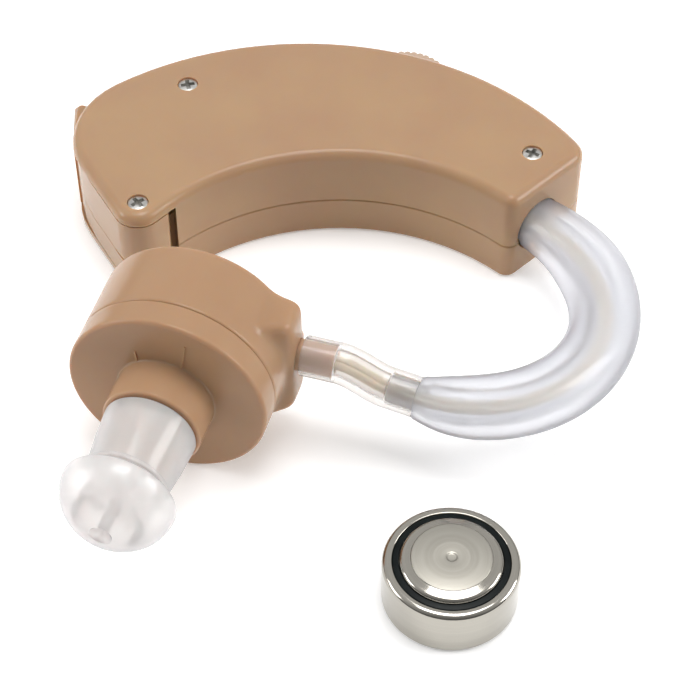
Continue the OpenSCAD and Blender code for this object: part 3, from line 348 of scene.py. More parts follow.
FILTER_MESH = Finish(
    "white_filter_plastic", (0.80, 0.79, 0.76), (0.70, 0.69, 0.66), (0.4, 0.55), 1500.0)
TERMINAL_BOARD = Finish(
    "brown_terminal_board", (0.30, 0.17, 0.07), (0.20, 0.11, 0.04), (0.45, 0.6), 700.0)
TABLE_WHITE = Finish(
    "white_table", (0.93, 0.93, 0.93), (0.92535, 0.92535, 0.92535), (0.75, 0.85), 8.0,
    specular=0.1, relief_strength=0.02, glow=0.24)


class Ring(NamedTuple):
    """One ring of a swept piece."""

    place: Vector
    along: Vector
    radius: float


def ring_row(start: Vector, along: Vector, rows: Sequence[Pair],
             facing: int = 1) -> list[Ring]:
    """Lines rings up on a straight line.

    Args:
        start: Place that the rings are measured from.
        along: Direction of the line.
        rows: Distance from the start and radius of each ring.
        facing: 1, or -1 where the sweep runs against the line.

    Returns:
        The rings in order.
    """
    return [Ring(start + at * along, facing * along, radius) for at, radius in rows]


def swept(rings: Sequence[Ring], up: Vector, sides: int, hollow: bool) -> Mesh:
    """Sweeps a circle through rings.

    Args:
        rings: Rings in order; a hollow piece runs out over its outside and back inside.
        up: Direction that no ring runs along.
        sides: Sides of the circle.
        hollow: Whether the last ring is joined to the first, or both ends are capped.

    Returns:
        The swept mesh.
    """
    piece, places = bmesh.new(), []
    for ring in rings:
        z = ring.along.normalized()
        x = up.cross(z).normalized()
        places.append(Matrix.Translation(ring.place)
                      @ Matrix((x, z.cross(x), z)).transposed().to_4x4()
                      @ Matrix.Scale(ring.radius, 4))
    bmesh.ops.create_circle(piece, segments=sides, radius=1.0, matrix=places[0])
    edges = list(piece.edges)
    first = list(edges)
    for here, there in zip(places, places[1:]):
        made = bmesh.ops.extrude_edge_only(piece, edges=edges)["geom"]
        fresh = {v for v in made if isinstance(v, bmesh.types.BMVert)}
        edges = [e for e in made if isinstance(e, bmesh.types.BMEdge)
                 and all(v in fresh for v in e.verts)]
        bmesh.ops.transform(piece, matrix=there @ here.inverted(), verts=list(fresh))
    if hollow:
        bmesh.ops.bridge_loops(piece, edges=first + edges)
    else:
        bmesh.ops.contextual_create(piece, geom=first)
        bmesh.ops.contextual_create(piece, geom=edges)
    bmesh.ops.recalc_face_normals(piece, faces=piece.faces)
    return piece


def turned(profile: Profile, place: Matrix, steps: int = 128, closed: bool = False) -> Mesh:
    """Spins a profile about Z and rounds its corners.

    Args:
        profile: Radius, height and, where a corner is rounded, rounding of each place; an
            open profile starts and ends on the axis.
        place: Where the turned piece stands.
        steps: Steps of the spin.
        closed: Whether the profile is a ring.

    Returns:
        The turned mesh.
    """
    piece = bmesh.new()
    line = [piece.verts.new((row[0], 0.0, row[1])) for row in profile]
    for start, stop in zip(line, line[1:] + line[:1] if closed else line[1:]):
        piece.edges.new((start, stop))
    bmesh.ops.spin(piece, geom=piece.verts[:] + piece.edges[:], cent=(0, 0, 0), axis=(0, 0, 1),
                   dvec=(0, 0, 0), angle=2 * pi, steps=steps, use_merge=True)
    bmesh.ops.remove_doubles(piece, verts=piece.verts, dist=MERGED)
    for radius, height, *rounding in profile:
        if any(rounding):
            edges = [e for e in piece.edges if all(
                abs(v.co.z - height) < MATCHED and abs(v.co.xy.length - radius) < MATCHED
                for v in e.verts)]
            bmesh.ops.bevel(piece, geom=edges, offset=rounding[0], segments=CORNER_STEPS,
                            profile=0.5, affect="EDGES", material=-1)
    bmesh.ops.recalc_face_normals(piece, faces=piece.faces)
    bmesh.ops.transform(piece, matrix=place, verts=piece.verts)
    return piece


def stood(name: str, piece: Mesh) -> bpy.types.Object:
    """Makes an object of a mesh and links it to the scene.

    Args:
        name: Name of the object.
        piece: Its mesh, freed here.

    Returns:
        The new object.
    """
    mesh = bpy.data.meshes.new(name)
    piece.to_mesh(mesh)
    piece.free()
    made = bpy.data.objects.new(name, mesh)
    bpy.context.scene.collection.objects.link(made)
    return made


def taken_down(made: bpy.types.Object, *others: bpy.types.Object) -> Mesh:
    """Takes an object's mesh with its modifiers applied, and removes the object.

    Args:
        made: The object.
        *others: Objects that its modifiers use, removed as well.

    Returns:
        The mesh.
    """
    bpy.context.view_layer.update()
    shown = made.evaluated_get(bpy.context.evaluated_depsgraph_get())
    result = bmesh.new()
    result.from_mesh(shown.data)
    for one in (made, *others):
        mesh = one.data
        bpy.data.objects.remove(one)
        bpy.data.meshes.remove(mesh)
    return result


def finished(name: str, piece: Mesh, finish: Finish, sharp: float = 32.0,
             scale: float = METRE, edge: float = 0.0) -> bpy.types.Object:
    """Makes a smooth shaded object of a mesh.

    Args:
        name: Name of the piece.
        piece: Its mesh, freed here.
        finish: Its finish.
        sharp: Angle in degrees above which an edge stays sharp or is rounded.
        scale: From the mesh's lengths to metres.
        edge: Rounding of its edges in millimetres, if any.

    Returns:
        The new object, at the origin.
    """
    bmesh.ops.transform(piece, matrix=Matrix.Scale(scale, 4), verts=piece.verts)
    made = stood(name, piece)
    made.data.shade_smooth()
    made.data.set_sharp_from_angle(angle=radians(sharp))
    made.data.materials.append(finish.material())
    if edge:
        rounding = made.modifiers.new("rounding", "BEVEL")
        rounding.limit_method, rounding.angle_limit = "ANGLE", radians(sharp)
        rounding.width, rounding.segments = edge * METRE, EDGE_STEPS
        rounding.miter_outer = "MITER_ARC"
    weights = made.modifiers.new("weights", "WEIGHTED_NORMAL")
    weights.keep_sharp, weights.weight = not edge, NORMAL_WEIGHT
    return made


def carved(piece: Mesh, tool: Mesh, operation: str = "DIFFERENCE") -> Mesh:
    """Cuts one mesh by another, or joins them.

    Args:
        piece: Mesh that is cut, freed here.
        tool: Mesh that cuts, freed here.
        operation: Kind of cut.

    Returns:
        The new mesh.
    """
    shown, cutter = stood("carved_piece", piece), stood("carving_tool", tool)
    cut = shown.modifiers.new("cut", "BOOLEAN")
    cut.operation, cut.object, cut.solver = operation, cutter, "EXACT"
    return taken_down(shown, cutter)


def block(lowest: Place, highest: Place, place: Matrix) -> Mesh:
    """Makes a block between two corners.

    Args:
        lowest: Lowest corner.
        highest: Highest corner.
        place: Where the block stands.

    Returns:
        The block's mesh.
    """
    piece = bmesh.new()
    low, high = Vector(lowest), Vector(highest)
    bmesh.ops.create_cube(piece, size=1.0, matrix=place @ Matrix.Translation((low + high) / 2)
                          @ Matrix.Diagonal((*(high - low), 1.0)))
    return piece


def joined(pieces: Sequence[Mesh]) -> Mesh:
    """Puts several meshes side by side in one.

    Args:
        pieces: Meshes, freed here.

    Returns:
        The mesh that holds them all.
    """
    whole = bmesh.new()
    for piece in pieces:
        mesh = bpy.data.meshes.new("part")
        piece.to_mesh(mesh)
        piece.free()
        whole.from_mesh(mesh)
        bpy.data.meshes.remove(mesh)
    return whole


def sliced(piece: Mesh, heights: Sequence[float]) -> None:
    """Adds edges round a mesh in metres at some heights, so that it can be shaped there.

    Args:
        piece: The mesh.
        heights: Heights in millimetres.
    """
    for height in heights:
        bmesh.ops.bisect_plane(piece, geom=piece.verts[:] + piece.edges[:] + piece.faces[:],
                               plane_co=(0, 0, height * METRE), plane_no=(0, 0, 1))


def cad_mesh(node: str) -> Mesh:
    """Copies a CAD node's mesh, with its doubled places merged.

    Args:
        node: The CAD node.

    Returns:
        The copy, in metres.
    """
    piece = bmesh.new()
    piece.from_mesh(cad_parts[node].data)
    bmesh.ops.remove_doubles(piece, verts=piece.verts, dist=CAD_MERGED)
    return piece


def moulded_copy(name: str, node: str, edge: float,
                 shape: Callable[[Mesh], None] | None = None) -> bpy.types.Object:
    """Makes a smooth shaded copy of one of the case's CAD nodes, with soft edges.

    Args:
        name: Name of the piece.
        node: CAD node that it stands for.
        edge: Rounding of its edges in millimetres.
        shape: Changes the merged mesh before its edges are rounded.

    Returns:
        The new object.
    """
    piece = cad_mesh(node)
    bmesh.ops.dissolve_degenerate(piece, edges=piece.edges, dist=CAD_SLIVER)
    bmesh.ops.dissolve_limit(piece, verts=piece.verts, edges=piece.edges, angle_limit=CAD_FLAT)
    if shape:
        shape(piece)
    return finished(name, piece, CASE_PLASTIC, MOULD_SHARP, 1.0, edge)


def placed(made: bpy.types.Object, body: str, slot: str, *nodes: str) -> None:
    """Rides a piece on its body and stands it for its nodes.

    Args:
        made: The piece.
        body: Body that it rides on.
        slot: Material slot of the record; not used.
        *nodes: CAD nodes that it stands for.
    """
    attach(made, body)
    if nodes:
        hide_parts(*nodes)
    log.info("%s rides on %s and has %d faces", made.name, body, len(made.data.polygons))


def dress(finishes: dict[str, Finish]) -> None:
    """Gives CAD nodes their finishes.

    Args:
        finishes: Finish of each node.
    """
    for node, finish in finishes.items():
        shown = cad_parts[node]
        for place in shown.material_slots:
            place.material = finish.material()
        if not shown.material_slots:
            shown.data.materials.append(finish.material())
        log.info("%s has %s", node, finish.name)


@dataclass
class Case:
    """Two shells, their screws and the circuit between them."""

    edge: float = 0.08
    screw_places: tuple[Pair, ...] = (CORNER_SCREW, (-13.0232, 1.71948), (20.4145, -8.29636))
    screw: Profile = ((0, 1.6), (0.3, 1.6), (0.5, 2.1), (0.5, 9.44), (0.97, 9.44, 0.06),
                      (0.97, 10.04, 0.07), (0.6014, 10.12), (0, 10.14))
    screw_steps: int = 64
    recess_low: Place = (-0.679, -0.21, 9.59)
    recess_high: Place = (0.679, 0.21, 10.44)
    recess_turns: tuple[float, ...] = (38.0, 12.0, 62.0)

    def build(self) -> None:
        """Builds the shells and screws and dresses the circuit."""
        for name, node in (("upper_shell", "top_shell"), ("lower_shell", "bottom_shell")):
            placed(moulded_copy(name, node, self.edge), "case", "case", node)
        screws = [self._screw(at, turn) for at, turn in zip(self.screw_places,
                                                            self.recess_turns)]
        placed(finished("cross_head_screws", joined(screws), SCREW_STEEL), "case", "steel",
               "case_screws")
        dress({"circuit_board": BOARD_MASK, "amplifier_chip": CHIP_EPOXY,
               "capacitors": CAPACITOR_SLEEVE, "chip_resistors": CHIP_EPOXY,
               "microphone_capsule": FRAME_STEEL, "microphone_boot": BOOT_RUBBER,
               "volume_control_body": CONTROL_PLASTIC, "positive_contact": CONTACT_GOLD,
               "negative_contact": CONTACT_GOLD})

    def _screw(self, at: Pair, turn: float) -> Mesh:
        """Builds one screw with a domed head and a cross recess.

        Args:
            at: Place of the screw.
            turn: Turn of its recess in degrees.

        Returns:
            The screw's mesh.
        """
        place = Matrix.Translation((*at, 0.0))
        screw = turned(self.screw, place, self.screw_steps)
        for angle in (turn, turn + 90.0):
            arm = place @ Matrix.Rotation(radians(angle), 4, "Z")
            screw = carved(screw, block(self.recess_low, self.recess_high, arm))
        return screw


@dataclass
class BatteryDoor:
    """Swinging door with the tray for the cell and a thin nail lip."""

    edge: float = 0.06
    corner: Pair = (-14.8252, -4.92044)
    corner_radius: float = 9.0
    pivot_radius: float = 2.3
    parting: float = 4.1
    groove: float = 0.1
    # How far a place may be off the parting's height and off the wall to be on the groove.
    level_slack: float = 0.005
    wall_slack: float = 0.03
    lip_clearance: float = 0.02
    lip_reach: float = 4.0
    lip_angles: Pair = (181.5, 153.0)
    # Share of the nail lip's depth that is kept at each height.
    lip_levels: tuple[Pair, ...] = ((1.25, 0.05), (3.0, 0.08), (4.2, 0.35), (5.6, 0.72),
                                    (7.0, 0.93), (8.95, 1.0))

    def build(self) -> None:
        """Builds the door."""
        placed(moulded_copy("swing_door", "battery_door", self.edge, self._refine), "door",
               "case", "battery_door")

    def _refine(self, piece: Mesh) -> None:
        """Gives the door its tapered lip and its groove.

        Args:
            piece: The door's merged mesh, in metres.
        """
        sliced(piece, [height for height, _ in self.lip_levels[1:-1]])
        self._taper_lip(piece)
        sliced(piece, (self.parting - self.groove, self.parting, self.parting + self.groove))
        self._run_groove(piece)

    def _lip_at(self, height: float) -> float:
        """Finds the share of the nail lip's depth that is kept at a height.

        Args:
            height: Height over the table.

        Returns:
            The share.
        """
        for (z0, s0), (z1, s1) in zip(self.lip_levels, self.lip_levels[1:]):
            if height <= z1:
                return s0 + (s1 - s0) * max(0.0, height - z0) / (z1 - z0)
        return self.lip_levels[-1][1]

    def _taper_lip(self, piece: Mesh) -> None:
        """Thins the nail lip, more and more towards its lower end.

        Args:
            piece: The door's merged mesh, in metres.
        """
        centre = Vector((*self.corner, 0.0)) * METRE
        start, full = self.lip_angles
        for vert in piece.verts:
            out = (vert.co - centre).xy
            beyond = out.length - (self.corner_radius + self.lip_clearance) * METRE
            if (beyond > 0 and vert.co.x < centre.x
                    and vert.co.y > centre.y - self.lip_reach * METRE):
                angle = degrees(atan2(out.y, out.x)) % 360.0
                along = min(1.0, max(0.0, (start - angle) / (start - full)))
                keep = along * self._lip_at(vert.co.z / METRE)
                vert.co.xy -= out.normalized() * beyond * (1 - keep)

    def _run_groove(self, piece: Mesh) -> None:
        """Runs the shells' joint across the end wall as a fine groove.

        Args:
            piece: The door's merged mesh, in metres.
        """
        roof = Vector(self.corner)
        span = Vector(CORNER_SCREW) - roof
        lean = acos((self.corner_radius - self.pivot_radius) / span.length)
        wall = atan2(span.y, span.x) - lean
        across = Vector((cos(wall), sin(wall)))
        for vert in piece.verts:
            if abs(vert.co.z / METRE - self.parting) > self.level_slack:
                continue
            at = vert.co.xy / METRE - roof
            if at.dot(span) / span.length < self.corner_radius * cos(lean):
                out, depth = at.normalized(), at.length - self.corner_radius
            else:
                out, depth = across, at.dot(across) - self.corner_radius
            if abs(depth) < self.wall_slack:
                vert.co.xy -= out * self.groove * METRE


@dataclass
class VolumeWheel:
    """Knurled wheel on its shaft."""

    centre: Place = (8.53869, 4.26661, 0.0)
    radius: float = 4.5
    profile: Profile = ((0.83, 6.0), (4.5, 6.0, 0.18), (4.5, 8.6, 0.18), (3.51, 8.6),
                        (3.33, 8.48), (2.01, 8.48), (1.76, 8.3), (1.76, 7.7333333),
                        (0.83, 7.7333333))
    knurls: int = 40
    knurl_sides: int = 8
    knurl_depth: float = 0.24
    knurl_from: float = 3.87
    knurl_roundness: float = 0.7

    def build(self) -> None:
        """Builds the wheel and dresses its shaft and screw."""
        wheel = turned(self.profile, Matrix.Identity(4), self.knurls * self.knurl_sides, True)
        for vert in wheel.verts:
            if hypot(vert.co.x, vert.co.y) > self.knurl_from:
                angle = atan2(vert.co.y, vert.co.x)
                crest = abs(sin(angle * self.knurls / 2)) ** self.knurl_roundness
                vert.co.xy *= 1 - self.knurl_depth * (1 - crest) / self.radius
        bmesh.ops.translate(wheel, verts=wheel.verts, vec=self.centre)
        placed(finished("knurled_wheel", wheel, WHEEL_PLASTIC, sharp=40.0), "wheel", "wheel",
               "volume_wheel")
        dress({"volume_shaft": FRAME_STEEL, "wheel_screw": SCREW_STEEL})


@dataclass
class EarHook:
    """Milky clear hook, the vinyl tube and the two leads in them."""

    socket: Place = (20.7172, -12.5439, 5.1)
    direction: float = -39.4
    roll: float = 5.0
    sweep: float = 163.4
    first_bend: float = 15.85
    last_bend: float = 11.25
    largest: float = 3.33
    # Share of the way along the hook, and share of its largest radius there.
    girths: tuple[Pair, ...] = ((0.0, 0.79), (0.08, 0.88), (0.2, 1.0), (0.45, 0.945),
                                (0.7, 0.9), (0.85, 0.85), (0.93, 0.75), (1.0, 0.59))
    # Distance and radius of the rings in the case, and past the tip to the nipple and back.
    stub: tuple[Pair, ...] = ((-5.2, 2.05), (-5.05, 2.2), (-4.4, 2.2), (-4.4, 1.8),
                              (-3.7, 1.8), (-3.7, 2.2), (-0.35, 2.2), (0.0, 2.4707),
                              (0.05, 2.5907))
    nipple: tuple[Pair, ...] = ((0.09, 1.9147), (0.13, 1.8047), (0.13, 1.25), (2.65, 1.25),
                                (2.8, 1.15), (2.8, 0.95), (0.0, 0.95))
    bore: float = 1.3
    # Shares of the way along the hook between which the bore narrows.
    bore_ends: Pair = (0.985, 0.97)
    steps: int = 90
    sides: int = 72
    pipe_place: Place = (-1.36581, -33.0998, 9.0)
    pipe_along: Place = (0.95882, -0.284015, 0.0)
    # Distances from the pipe's foot and from the hook's tip between which the tube bends.
    bend_ends: Pair = (3.45, 2.95)
    tube_radius: float = 1.85
    tube_bore: float = 1.1
    tube_steps: int = 16
    tube_sides: int = 56
    # Distance and radius of the tube's rings round the pipe, round the nipple and in the pipe.
    tube_start: tuple[Pair, ...] = ((0.36, 1.47), (0.36, 1.77), (0.44, 1.85))
    tube_end: tuple[Pair, ...] = ((0.22, 1.85), (0.15, 1.77), (0.15, 1.3), (2.8, 1.3))
    tube_return: tuple[Pair, ...] = ((3.36, 1.47),)
    lead_radius: float = 0.36
    lead_aside: float = 0.378
    lead_start: float = -6.2
    lead_steps: tuple[int, int] = (70, 14)
    lead_sides: int = 16

    def __post_init__(self) -> None:
        """Places the hook's frame and the drum's pipe."""
        self.place = (Matrix.Translation(self.socket)
                      @ Matrix.Rotation(radians(self.direction), 4, "Z")
                      @ Matrix.Rotation(radians(-self.roll), 4, "X"))
        self.up = (self.place.to_3x3() @ UP).normalized()
        self.pipe = Vector(self.pipe_place), Vector(self.pipe_along)

    def along(self, share: float) -> tuple[Vector, Vector]:
        """Finds a place and the direction of the hook's middle line.

        Args:
            share: Share of the line from the case to the tip.

        Returns:
            The place and the direction.
        """
        full = radians(self.sweep)
        angle = full * share
        change = self.last_bend - self.first_bend
        x = self.first_bend * sin(angle) + change * (
            share * sin(angle) + (cos(angle) - 1) / full)
        y = -(self.first_bend * (1 - cos(angle)) + change * (
            sin(angle) / full - share * cos(angle)))
        heading = self.place.to_3x3() @ Vector((cos(angle), -sin(angle), 0.0))
        return self.place @ Vector((x, y, 0.0)), heading

    def girth(self, share: float) -> float:
        """Finds the hook's radius, smoothly between the measured ones.

        Args:
            share: Share of the line from the case to the tip.

        Returns:
            The radius.
        """
        rows = self.girths
        last = len(rows) - 2
        i = next((k for k in range(last) if share <= rows[k + 1][0]), last)
        (s0, g0), (s1, g1) = rows[i], rows[i + 1]
        before, after = rows[max(i - 1, 0)], rows[min(i + 2, last + 1)]
        slope0 = (g1 - before[1]) / (s1 - before[0])
        slope1 = (after[1] - g0) / (after[0] - s0)
        t, span = (share - s0) / (s1 - s0), s1 - s0
        return self.largest * (
            (2 * t ** 3 - 3 * t ** 2 + 1) * g0 + (t ** 3 - 2 * t ** 2 + t) * span * slope0
            + (3 * t ** 2 - 2 * t ** 3) * g1 + (t ** 3 - t ** 2) * span * slope1)

    def bent(self, share: float) -> tuple[Vector, Vector]:
        """Finds a place and direction of the tube between its two ends.

        Args:
            share: Share of the bend, from the drum to the hook.

        Returns:
            The place and the direction.
        """
        (foot, out), (tip, back) = self.pipe, self.along(1.0)
        start, stop = foot + self.bend_ends[0] * out, tip + self.bend_ends[1] * back
        reach = (stop - start).length / 3
        poles = (start, start + reach * out, stop + reach * back, stop)
        rest = 1 - share
        place = (rest ** 3 * poles[0] + 3 * share * rest ** 2 * poles[1]
                 + 3 * share ** 2 * rest * poles[2] + share ** 3 * poles[3])
        along = (rest ** 2 * (poles[1] - poles[0]) + 2 * share * rest * (poles[2] - poles[1])
                 + share ** 2 * (poles[3] - poles[2]))
        return place, along.normalized()

    def build(self) -> None:
        """Builds the hook, the tube and the leads and dresses the ring."""
        placed(finished("bent_hook", self._hook(), HOOK_PLASTIC), "hook", "hook", "ear_hook")
        placed(finished("vinyl_tube", self._tube(), TUBE_VINYL), "hook", "tube", "sound_tube")
        leads = joined([self._lead(side) for side in (-1, 1)])
        placed(finished("lead_pair", leads, LEAD_INSULATION, sharp=60.0), "hook", "lead",
               "receiver_leads")
        dress({"hook_retainer": FRAME_STEEL})

    def _hook(self) -> Mesh:
        """Sweeps the hook outside and back through its bore.

        Returns:
            The hook's mesh.
        """
        steps, (neck, narrow) = self.steps, self.bore_ends
        rings = ring_row(*self.along(0.0), self.stub)
        rings += [Ring(*self.along(k / steps), self.girth(k / steps))
                  for k in range(1, steps + 1)]
        rings += ring_row(*self.along(1.0), self.nipple)
        rings.append(Ring(*self.along(neck), self.nipple[-1][1]))
        rings += [Ring(*self.along(narrow * k / steps), self.bore)
                  for k in range(steps, -1, -1)]
        rings += ring_row(*self.along(0.0), [(self.stub[0][0], self.bore)])
        return swept(rings, self.up, self.sides, True)

    def _tube(self) -> Mesh:
        """Sweeps the tube outside and back through its bore.

        Returns:
            The tube's mesh.
        """
        bends = [self.bent(k / self.tube_steps) for k in range(self.tube_steps + 1)]
        rings = ring_row(*self.pipe, self.tube_start)
        rings += [Ring(*bend, self.tube_radius) for bend in bends]
        rings += ring_row(*self.along(1.0), self.tube_end, -1)
        rings += [Ring(*bend, self.tube_bore) for bend in reversed(bends)]
        rings += ring_row(*self.pipe, self.tube_return)
        return swept(rings, UP, self.tube_sides, True)

    def _lead(self, side: int) -> Mesh:
        """Sweeps one lead from the board's end to the drum.

        Args:
            side: Side of the pair that it runs on.

        Returns:
            The lead's mesh.
        """
        far, near = self.lead_steps
        start, ahead = self.along(0.0)
        foot, out = self.pipe
        route = [(start + self.lead_start * ahead, ahead)]
        route += [self.along(k / far) for k in range(far + 1)]
        route += [(place, -along) for place, along in
                  (self.bent(k / near) for k in range(near, -1, -1))]
        route += [(foot, -out)]
        rings = [Ring(place + side * self.lead_aside * along.cross(UP).normalized(), along,
                      self.lead_radius) for place, along in route]
        return swept(rings, UP, self.lead_sides, False)


@dataclass
class ReceiverDrum:
    """Drum with its lug, cover, nozzle, pipe and driver."""

    cover: Profile = ((1.6, -1.0), (7.27, -1.0), (7.27, -3.6, 0.1), (7.97, -3.6, 0.1),
                      (7.97, -2.6), (8.88, -2.6), (9.0, -2.48, 0.03), (9.0, 0.0, 0.36),
                      (4.4, 0.0, 0.18), (4.4, 3.8, 0.28), (3.1, 3.8, 0.12), (3.1, 9.2, 0.35),
                      (2.2, 9.2, 0.08), (2.2, 8.5), (1.6, 8.5, 0.08))
    cover_steps: int = 160
    pipe: Profile = ((0.95, 8.7), (1.4, 8.7, 0.05), (1.4, 12.9, 0.2), (0.95, 12.9, 0.06))
    pipe_steps: int = 64
    # Circle of the ribs' feet, then place on it and heading in degrees, and length of each.
    rib_circle: float = 4.4
    ribs: tuple[Place, ...] = ((68.0, 80.0, 2.9), (122.0, 96.0, 1.2))
    rib_half: float = 0.07
    rib_sink: float = 0.1
    voxel: float = 0.14
    # The lug lies outside this radius and behind its front, round the mouth for the pipe.
    lug_from: float = 8.5
    lug_front: float = -2.95
    lug_axis: float = -7.85
    lug_mouth: float = 2.0
    # Where each smoothing of the lug starts and how often it is repeated.
    lug_passes: tuple[tuple[float, int], ...] = ((5.6, 10), (6.2, 14), (6.8, 18), (7.4, 22))
    cup_passes: int = 3

    def build(self) -> None:
        """Builds the drum's moulded pieces and dresses the driver."""
        placed(self._cup(), "receiver", "drum", "rear_cup")
        placed(finished("drum_cover", self._cover(), DRUM_PLASTIC), "receiver", "drum",
               "front_cover")
        along = DRUM_PLACE @ Matrix.Translation((0, 0, self.lug_axis)) @ Matrix.Rotation(
            radians(90), 4, "Y")
        pipe = turned(self.pipe, along, self.pipe_steps, True)
        placed(finished("tube_pipe", pipe, PIPE_PLASTIC), "receiver", "drum", "tube_spigot")
        dress({"driver_frame": FRAME_STEEL, "driver_magnet": MAGNET_METAL,
               "driver_pole": FRAME_STEEL, "voice_coil": COIL_COPPER, "diaphragm": FILM,
               "driver_gasket": BOOT_RUBBER, "driver_terminals": TERMINAL_BOARD,
               "drum_leads": LEAD_INSULATION, "wax_filter": FILTER_MESH})

    def _cup(self) -> bpy.types.Object:
        """Moulds the cup's solid anew and smooths the lug into the drum's side.

        Returns:
            The cup.
        """
        cup = cad_mesh("rear_cup")
        bmesh.ops.transform(cup, matrix=DRUM_PLACE.inverted() @ Matrix.Scale(1 / METRE, 4),
                            verts=cup.verts)
        rough = stood("rough_cup", cup)
        remesh = rough.modifiers.new("remesh", "REMESH")
        remesh.mode, remesh.voxel_size = "VOXEL", self.voxel
        cup = taken_down(rough)
        smooth = {"factor": 0.5, "use_axis_x": True, "use_axis_y": True, "use_axis_z": True}
        for start, passes in self.lug_passes:
            near = [v for v in cup.verts if v.co.x > start and v.co.z < self.lug_front
                    and hypot(v.co.x, v.co.y) > self.lug_from
                    and hypot(v.co.y, v.co.z - self.lug_axis) >= self.lug_mouth]
            for _ in range(passes):
                bmesh.ops.smooth_vert(cup, verts=near, **smooth)
        for _ in range(self.cup_passes):
            behind = [v for v in cup.verts if v.co.z < self.lug_front]
            bmesh.ops.smooth_vert(cup, verts=behind, **smooth)
        bmesh.ops.transform(cup, matrix=DRUM_PLACE, verts=cup.verts)
        return finished("drum_cup", cup, DRUM_PLASTIC, sharp=50.0)

    def _cover(self) -> Mesh:
        """Turns the cover with its nozzle and stem, and adds the two small ribs.

        Returns:
            The cover's mesh.
        """
        cover = turned(self.cover, DRUM_PLACE, self.cover_steps, True)
        half, sink = self.rib_half, self.rib_sink
        for foot, heading, length in self.ribs:
            at = Matrix.Rotation(radians(foot), 4, "Z") @ Vector((self.rib_circle, 0.0, 0.0))
            spoke = DRUM_PLACE @ Matrix.Translation(at) @ Matrix.Rotation(
                radians(heading), 4, "Z")
            rib = block((-sink, -half, -sink), (length, half, half), spoke)
            cover = carved(cover, rib, "UNION")
        return cover


@dataclass
class EarTip:
    """Soft tip: sleeve on the stem, ring, neck and hollow dome."""

    sleeve: Profile = ((3.15, 3.9, 0.08), (4.15, 3.9, 0.22), (3.96325, 6.6), (3.6, 9.7),
                       (3.85, 9.73, 0.14), (3.85, 10.15, 0.14), (3.0, 10.285, 0.1))
    rim_at: float = 11.35
    # Middle, width, height, first and last angle and steps of the dome's inside, rim, outside.
    arcs: tuple[tuple[float, float, float, float, float, int], ...] = (
        (0.0, 4.45, 3.2, 47.611256, 0.0, 10), (4.725, -0.275, -0.275, 30.0, 150.0, 4),
        (0.0, 5.0, 4.3, 0.0, 78.463041, 28))
    outlet: Profile = ((0.5, 14.9), (0.5, 9.35), (3.15, 9.35))

    def build(self) -> None:
        """Turns the ear tip."""
        dome = []
        for middle, width, height, first, last, steps in self.arcs:
            for k in range(steps + 1):
                angle = radians(first + (last - first) * k / steps)
                dome.append((middle + width * cos(angle), self.rim_at + height * sin(angle)))
        tip = turned([*self.sleeve, *dome, *self.outlet], DRUM_PLACE, closed=True)
        placed(finished("soft_tip", tip, TIP_SILICONE, sharp=40.0), "ear_tip", "silicone",
               "ear_tip")


@dataclass
class ButtonCell:
    """Button cell that stands beside the aid: can, seal, cap and the cap's shoulder."""

    can: Profile = ((0, 0), (5.8, 0, 0.5), (5.8, 4.85, 0.5), (4.95, 4.85, 0.1), (4.95, 4.55),
                    (5.5, 4.1), (5.5, 0.3), (0, 0.3))
    seal: Profile = ((4.63, 2.425), (5.47, 2.425), (5.47, 4.07), (4.92, 4.52),
                     (4.92, 4.79, 0.08), (4.39, 4.87, 0.05), (4.39, 4.55))
    cap: Profile = ((0, 0.33), (4.6, 0.33), (4.6, 4.51), (4.36, 4.55), (4.06, 4.85),
                    (3.4, 5.2), (3.42, 5.4, 0.08), (0.5, 5.4, 0.05), (0.36, 5.33, 0.04),
                    (0, 5.33))
    shoulder: Profile = ((4.36, 4.57), (4.36, 5.1, 0.3), (3.76, 5.26, 0.3), (3.43, 5.35),
                         (3.43, 5.2), (4.08, 4.57))

    def build(self) -> None:
        """Turns the cell's four pieces."""
        place = Matrix.Translation(CELL_CENTRE)
        can, cap = turned(self.can, place), turned(self.cap, place)
        seal = turned(self.seal, place, closed=True)
        shoulder = turned(self.shoulder, place, closed=True)
        placed(finished("cell_case", can, CELL_NICKEL), "cell", "cell_steel", "cell_can")
        placed(finished("cell_ring", seal, SEAL_RUBBER), "cell", "black_rubber", "cell_seal")
        placed(finished("cell_lid", cap, CELL_CAP_NICKEL), "cell", "cell_steel", "cell_cap")
        placed(finished("cell_shoulder", shoulder, CELL_NICKEL), "cell", "cell_steel")


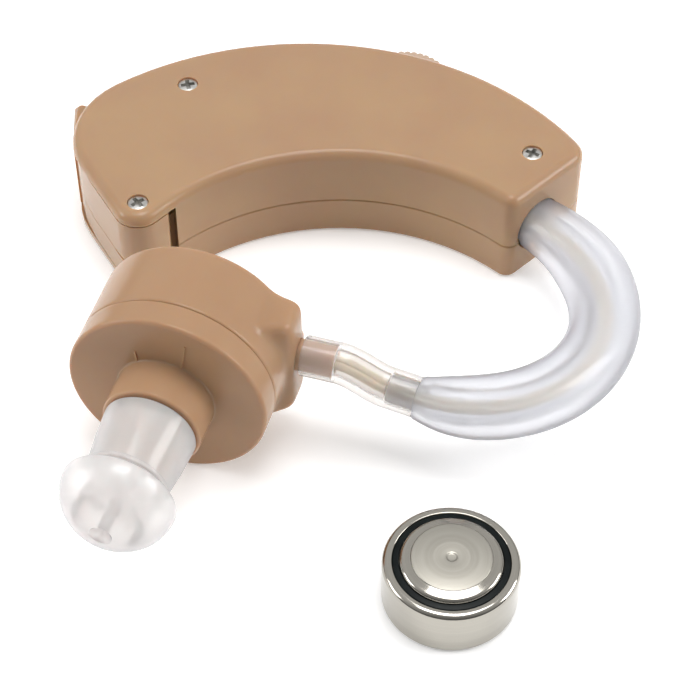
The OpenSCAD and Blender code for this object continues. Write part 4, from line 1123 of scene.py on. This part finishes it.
@dataclass
class Studio:
    """Pale floor, soft light and the camera, in metres, degrees and watts."""

    eye: Place = (0.003, -0.150, 0.1394)
    tilt: float = 42.0
    lens: float = 102.86
    sensor: float = 36.0
    clip: Pair = (0.005, 10.0)
    floor_reach: float = 1.2
    aim: Place = (0.0, -0.03, 0.0)
    # Name, place, side and power of each lamp.
    lamps: tuple[tuple[str, Place, float, float], ...] = (
        ("overhead", (0.03, 0.02, 0.46), 0.22, 1.05),
        ("right_fill", (0.40, -0.03, 0.20), 0.2, 1.0),
        ("left_fill", (-0.40, -0.03, 0.20), 0.2, 0.75))
    sky: float = 0.76
    # The surround's dimming towards the camera's side, and where it starts and stops.
    front: float = 0.35
    front_span: Pair = (-0.75, 0.1)
    # Tint and brightness of the surround at each height.
    horizon: Tint = (0.45, 0.43, 0.41)
    haze: tuple[Pair, ...] = ((0.05, 0.10), (0.17, 0.08), (0.24, 0.85))
    haze_tint: Tint = (1.0, 0.99, 0.98)
    white_from: float = 0.5

    def build(self) -> None:
        """Builds the studio."""
        scene = bpy.context.scene
        scene.view_settings.view_transform = "Standard"
        scene.view_settings.look = "None"
        camera = bpy.data.objects.new("camera", bpy.data.cameras.new("camera"))
        camera.data.lens, camera.data.sensor_width = self.lens, self.sensor
        camera.data.clip_start, camera.data.clip_end = self.clip
        camera.location = self.eye
        camera.rotation_euler = (radians(self.tilt), 0.0, 0.0)
        scene.collection.objects.link(camera)
        scene.camera = camera
        sheet = bmesh.new()
        bmesh.ops.create_grid(sheet, x_segments=1, y_segments=1, size=self.floor_reach)
        floor = finished("floor", sheet, TABLE_WHITE, scale=1.0)
        for name, at, size, energy in self.lamps:
            lamp = bpy.data.lights.new(name, "AREA")
            lamp.size, lamp.energy = size, energy
            hung = bpy.data.objects.new(name, lamp)
            hung.location = at
            aim = Vector(self.aim) - Vector(at)
            hung.rotation_euler = aim.to_track_quat("-Z", "Y").to_euler()
            scene.collection.objects.link(hung)
        self._sky(scene)

    def _sky(self, scene: bpy.types.Scene) -> None:
        """Makes a white surround, darker near the horizon and on the camera's side.

        Args:
            scene: The scene that it surrounds.
        """
        scene.world = bpy.data.worlds.new("surround")
        recipe = Recipe(scene.world, "Generated")
        parts = recipe.add("ShaderNodeSeparateXYZ", {"Vector": recipe.places}).outputs
        ramp = recipe.add("ShaderNodeValToRGB", {"Fac": parts["Z"]})
        dim = recipe.add("ShaderNodeVectorMath", {
            "Vector": ramp.outputs["Color"],
            "Scale": recipe.spread(parts["Y"], self.front, 1.0, *self.front_span)},
            operation="SCALE")
        light = recipe.add("ShaderNodeBackground", {
            "Color": dim.outputs["Vector"], "Strength": self.sky})
        recipe.add("ShaderNodeOutputWorld", {"Surface": light.outputs["Background"]})
        stops = ramp.color_ramp.elements
        stops[0].position, stops[0].color = 0.0, (*self.horizon, 1.0)
        stops[1].position, stops[1].color = self.white_from, (1.0, 1.0, 1.0, 1.0)
        for position, share in self.haze:
            stops.new(position).color = (*(share * c for c in self.haze_tint), 1.0)


def main() -> None:
    """Builds every sub-assembly and the studio."""
    logging.basicConfig(level=logging.INFO, format="%(name)s: %(message)s")
    for assembly in (Studio(), Case(), BatteryDoor(), VolumeWheel(), EarHook(),
                     ReceiverDrum(), EarTip(), ButtonCell()):
        assembly.build()
        log.info("%s is built", type(assembly).__name__)
    bpy.context.view_layer.update()


if __name__ == "__main__":
    main()
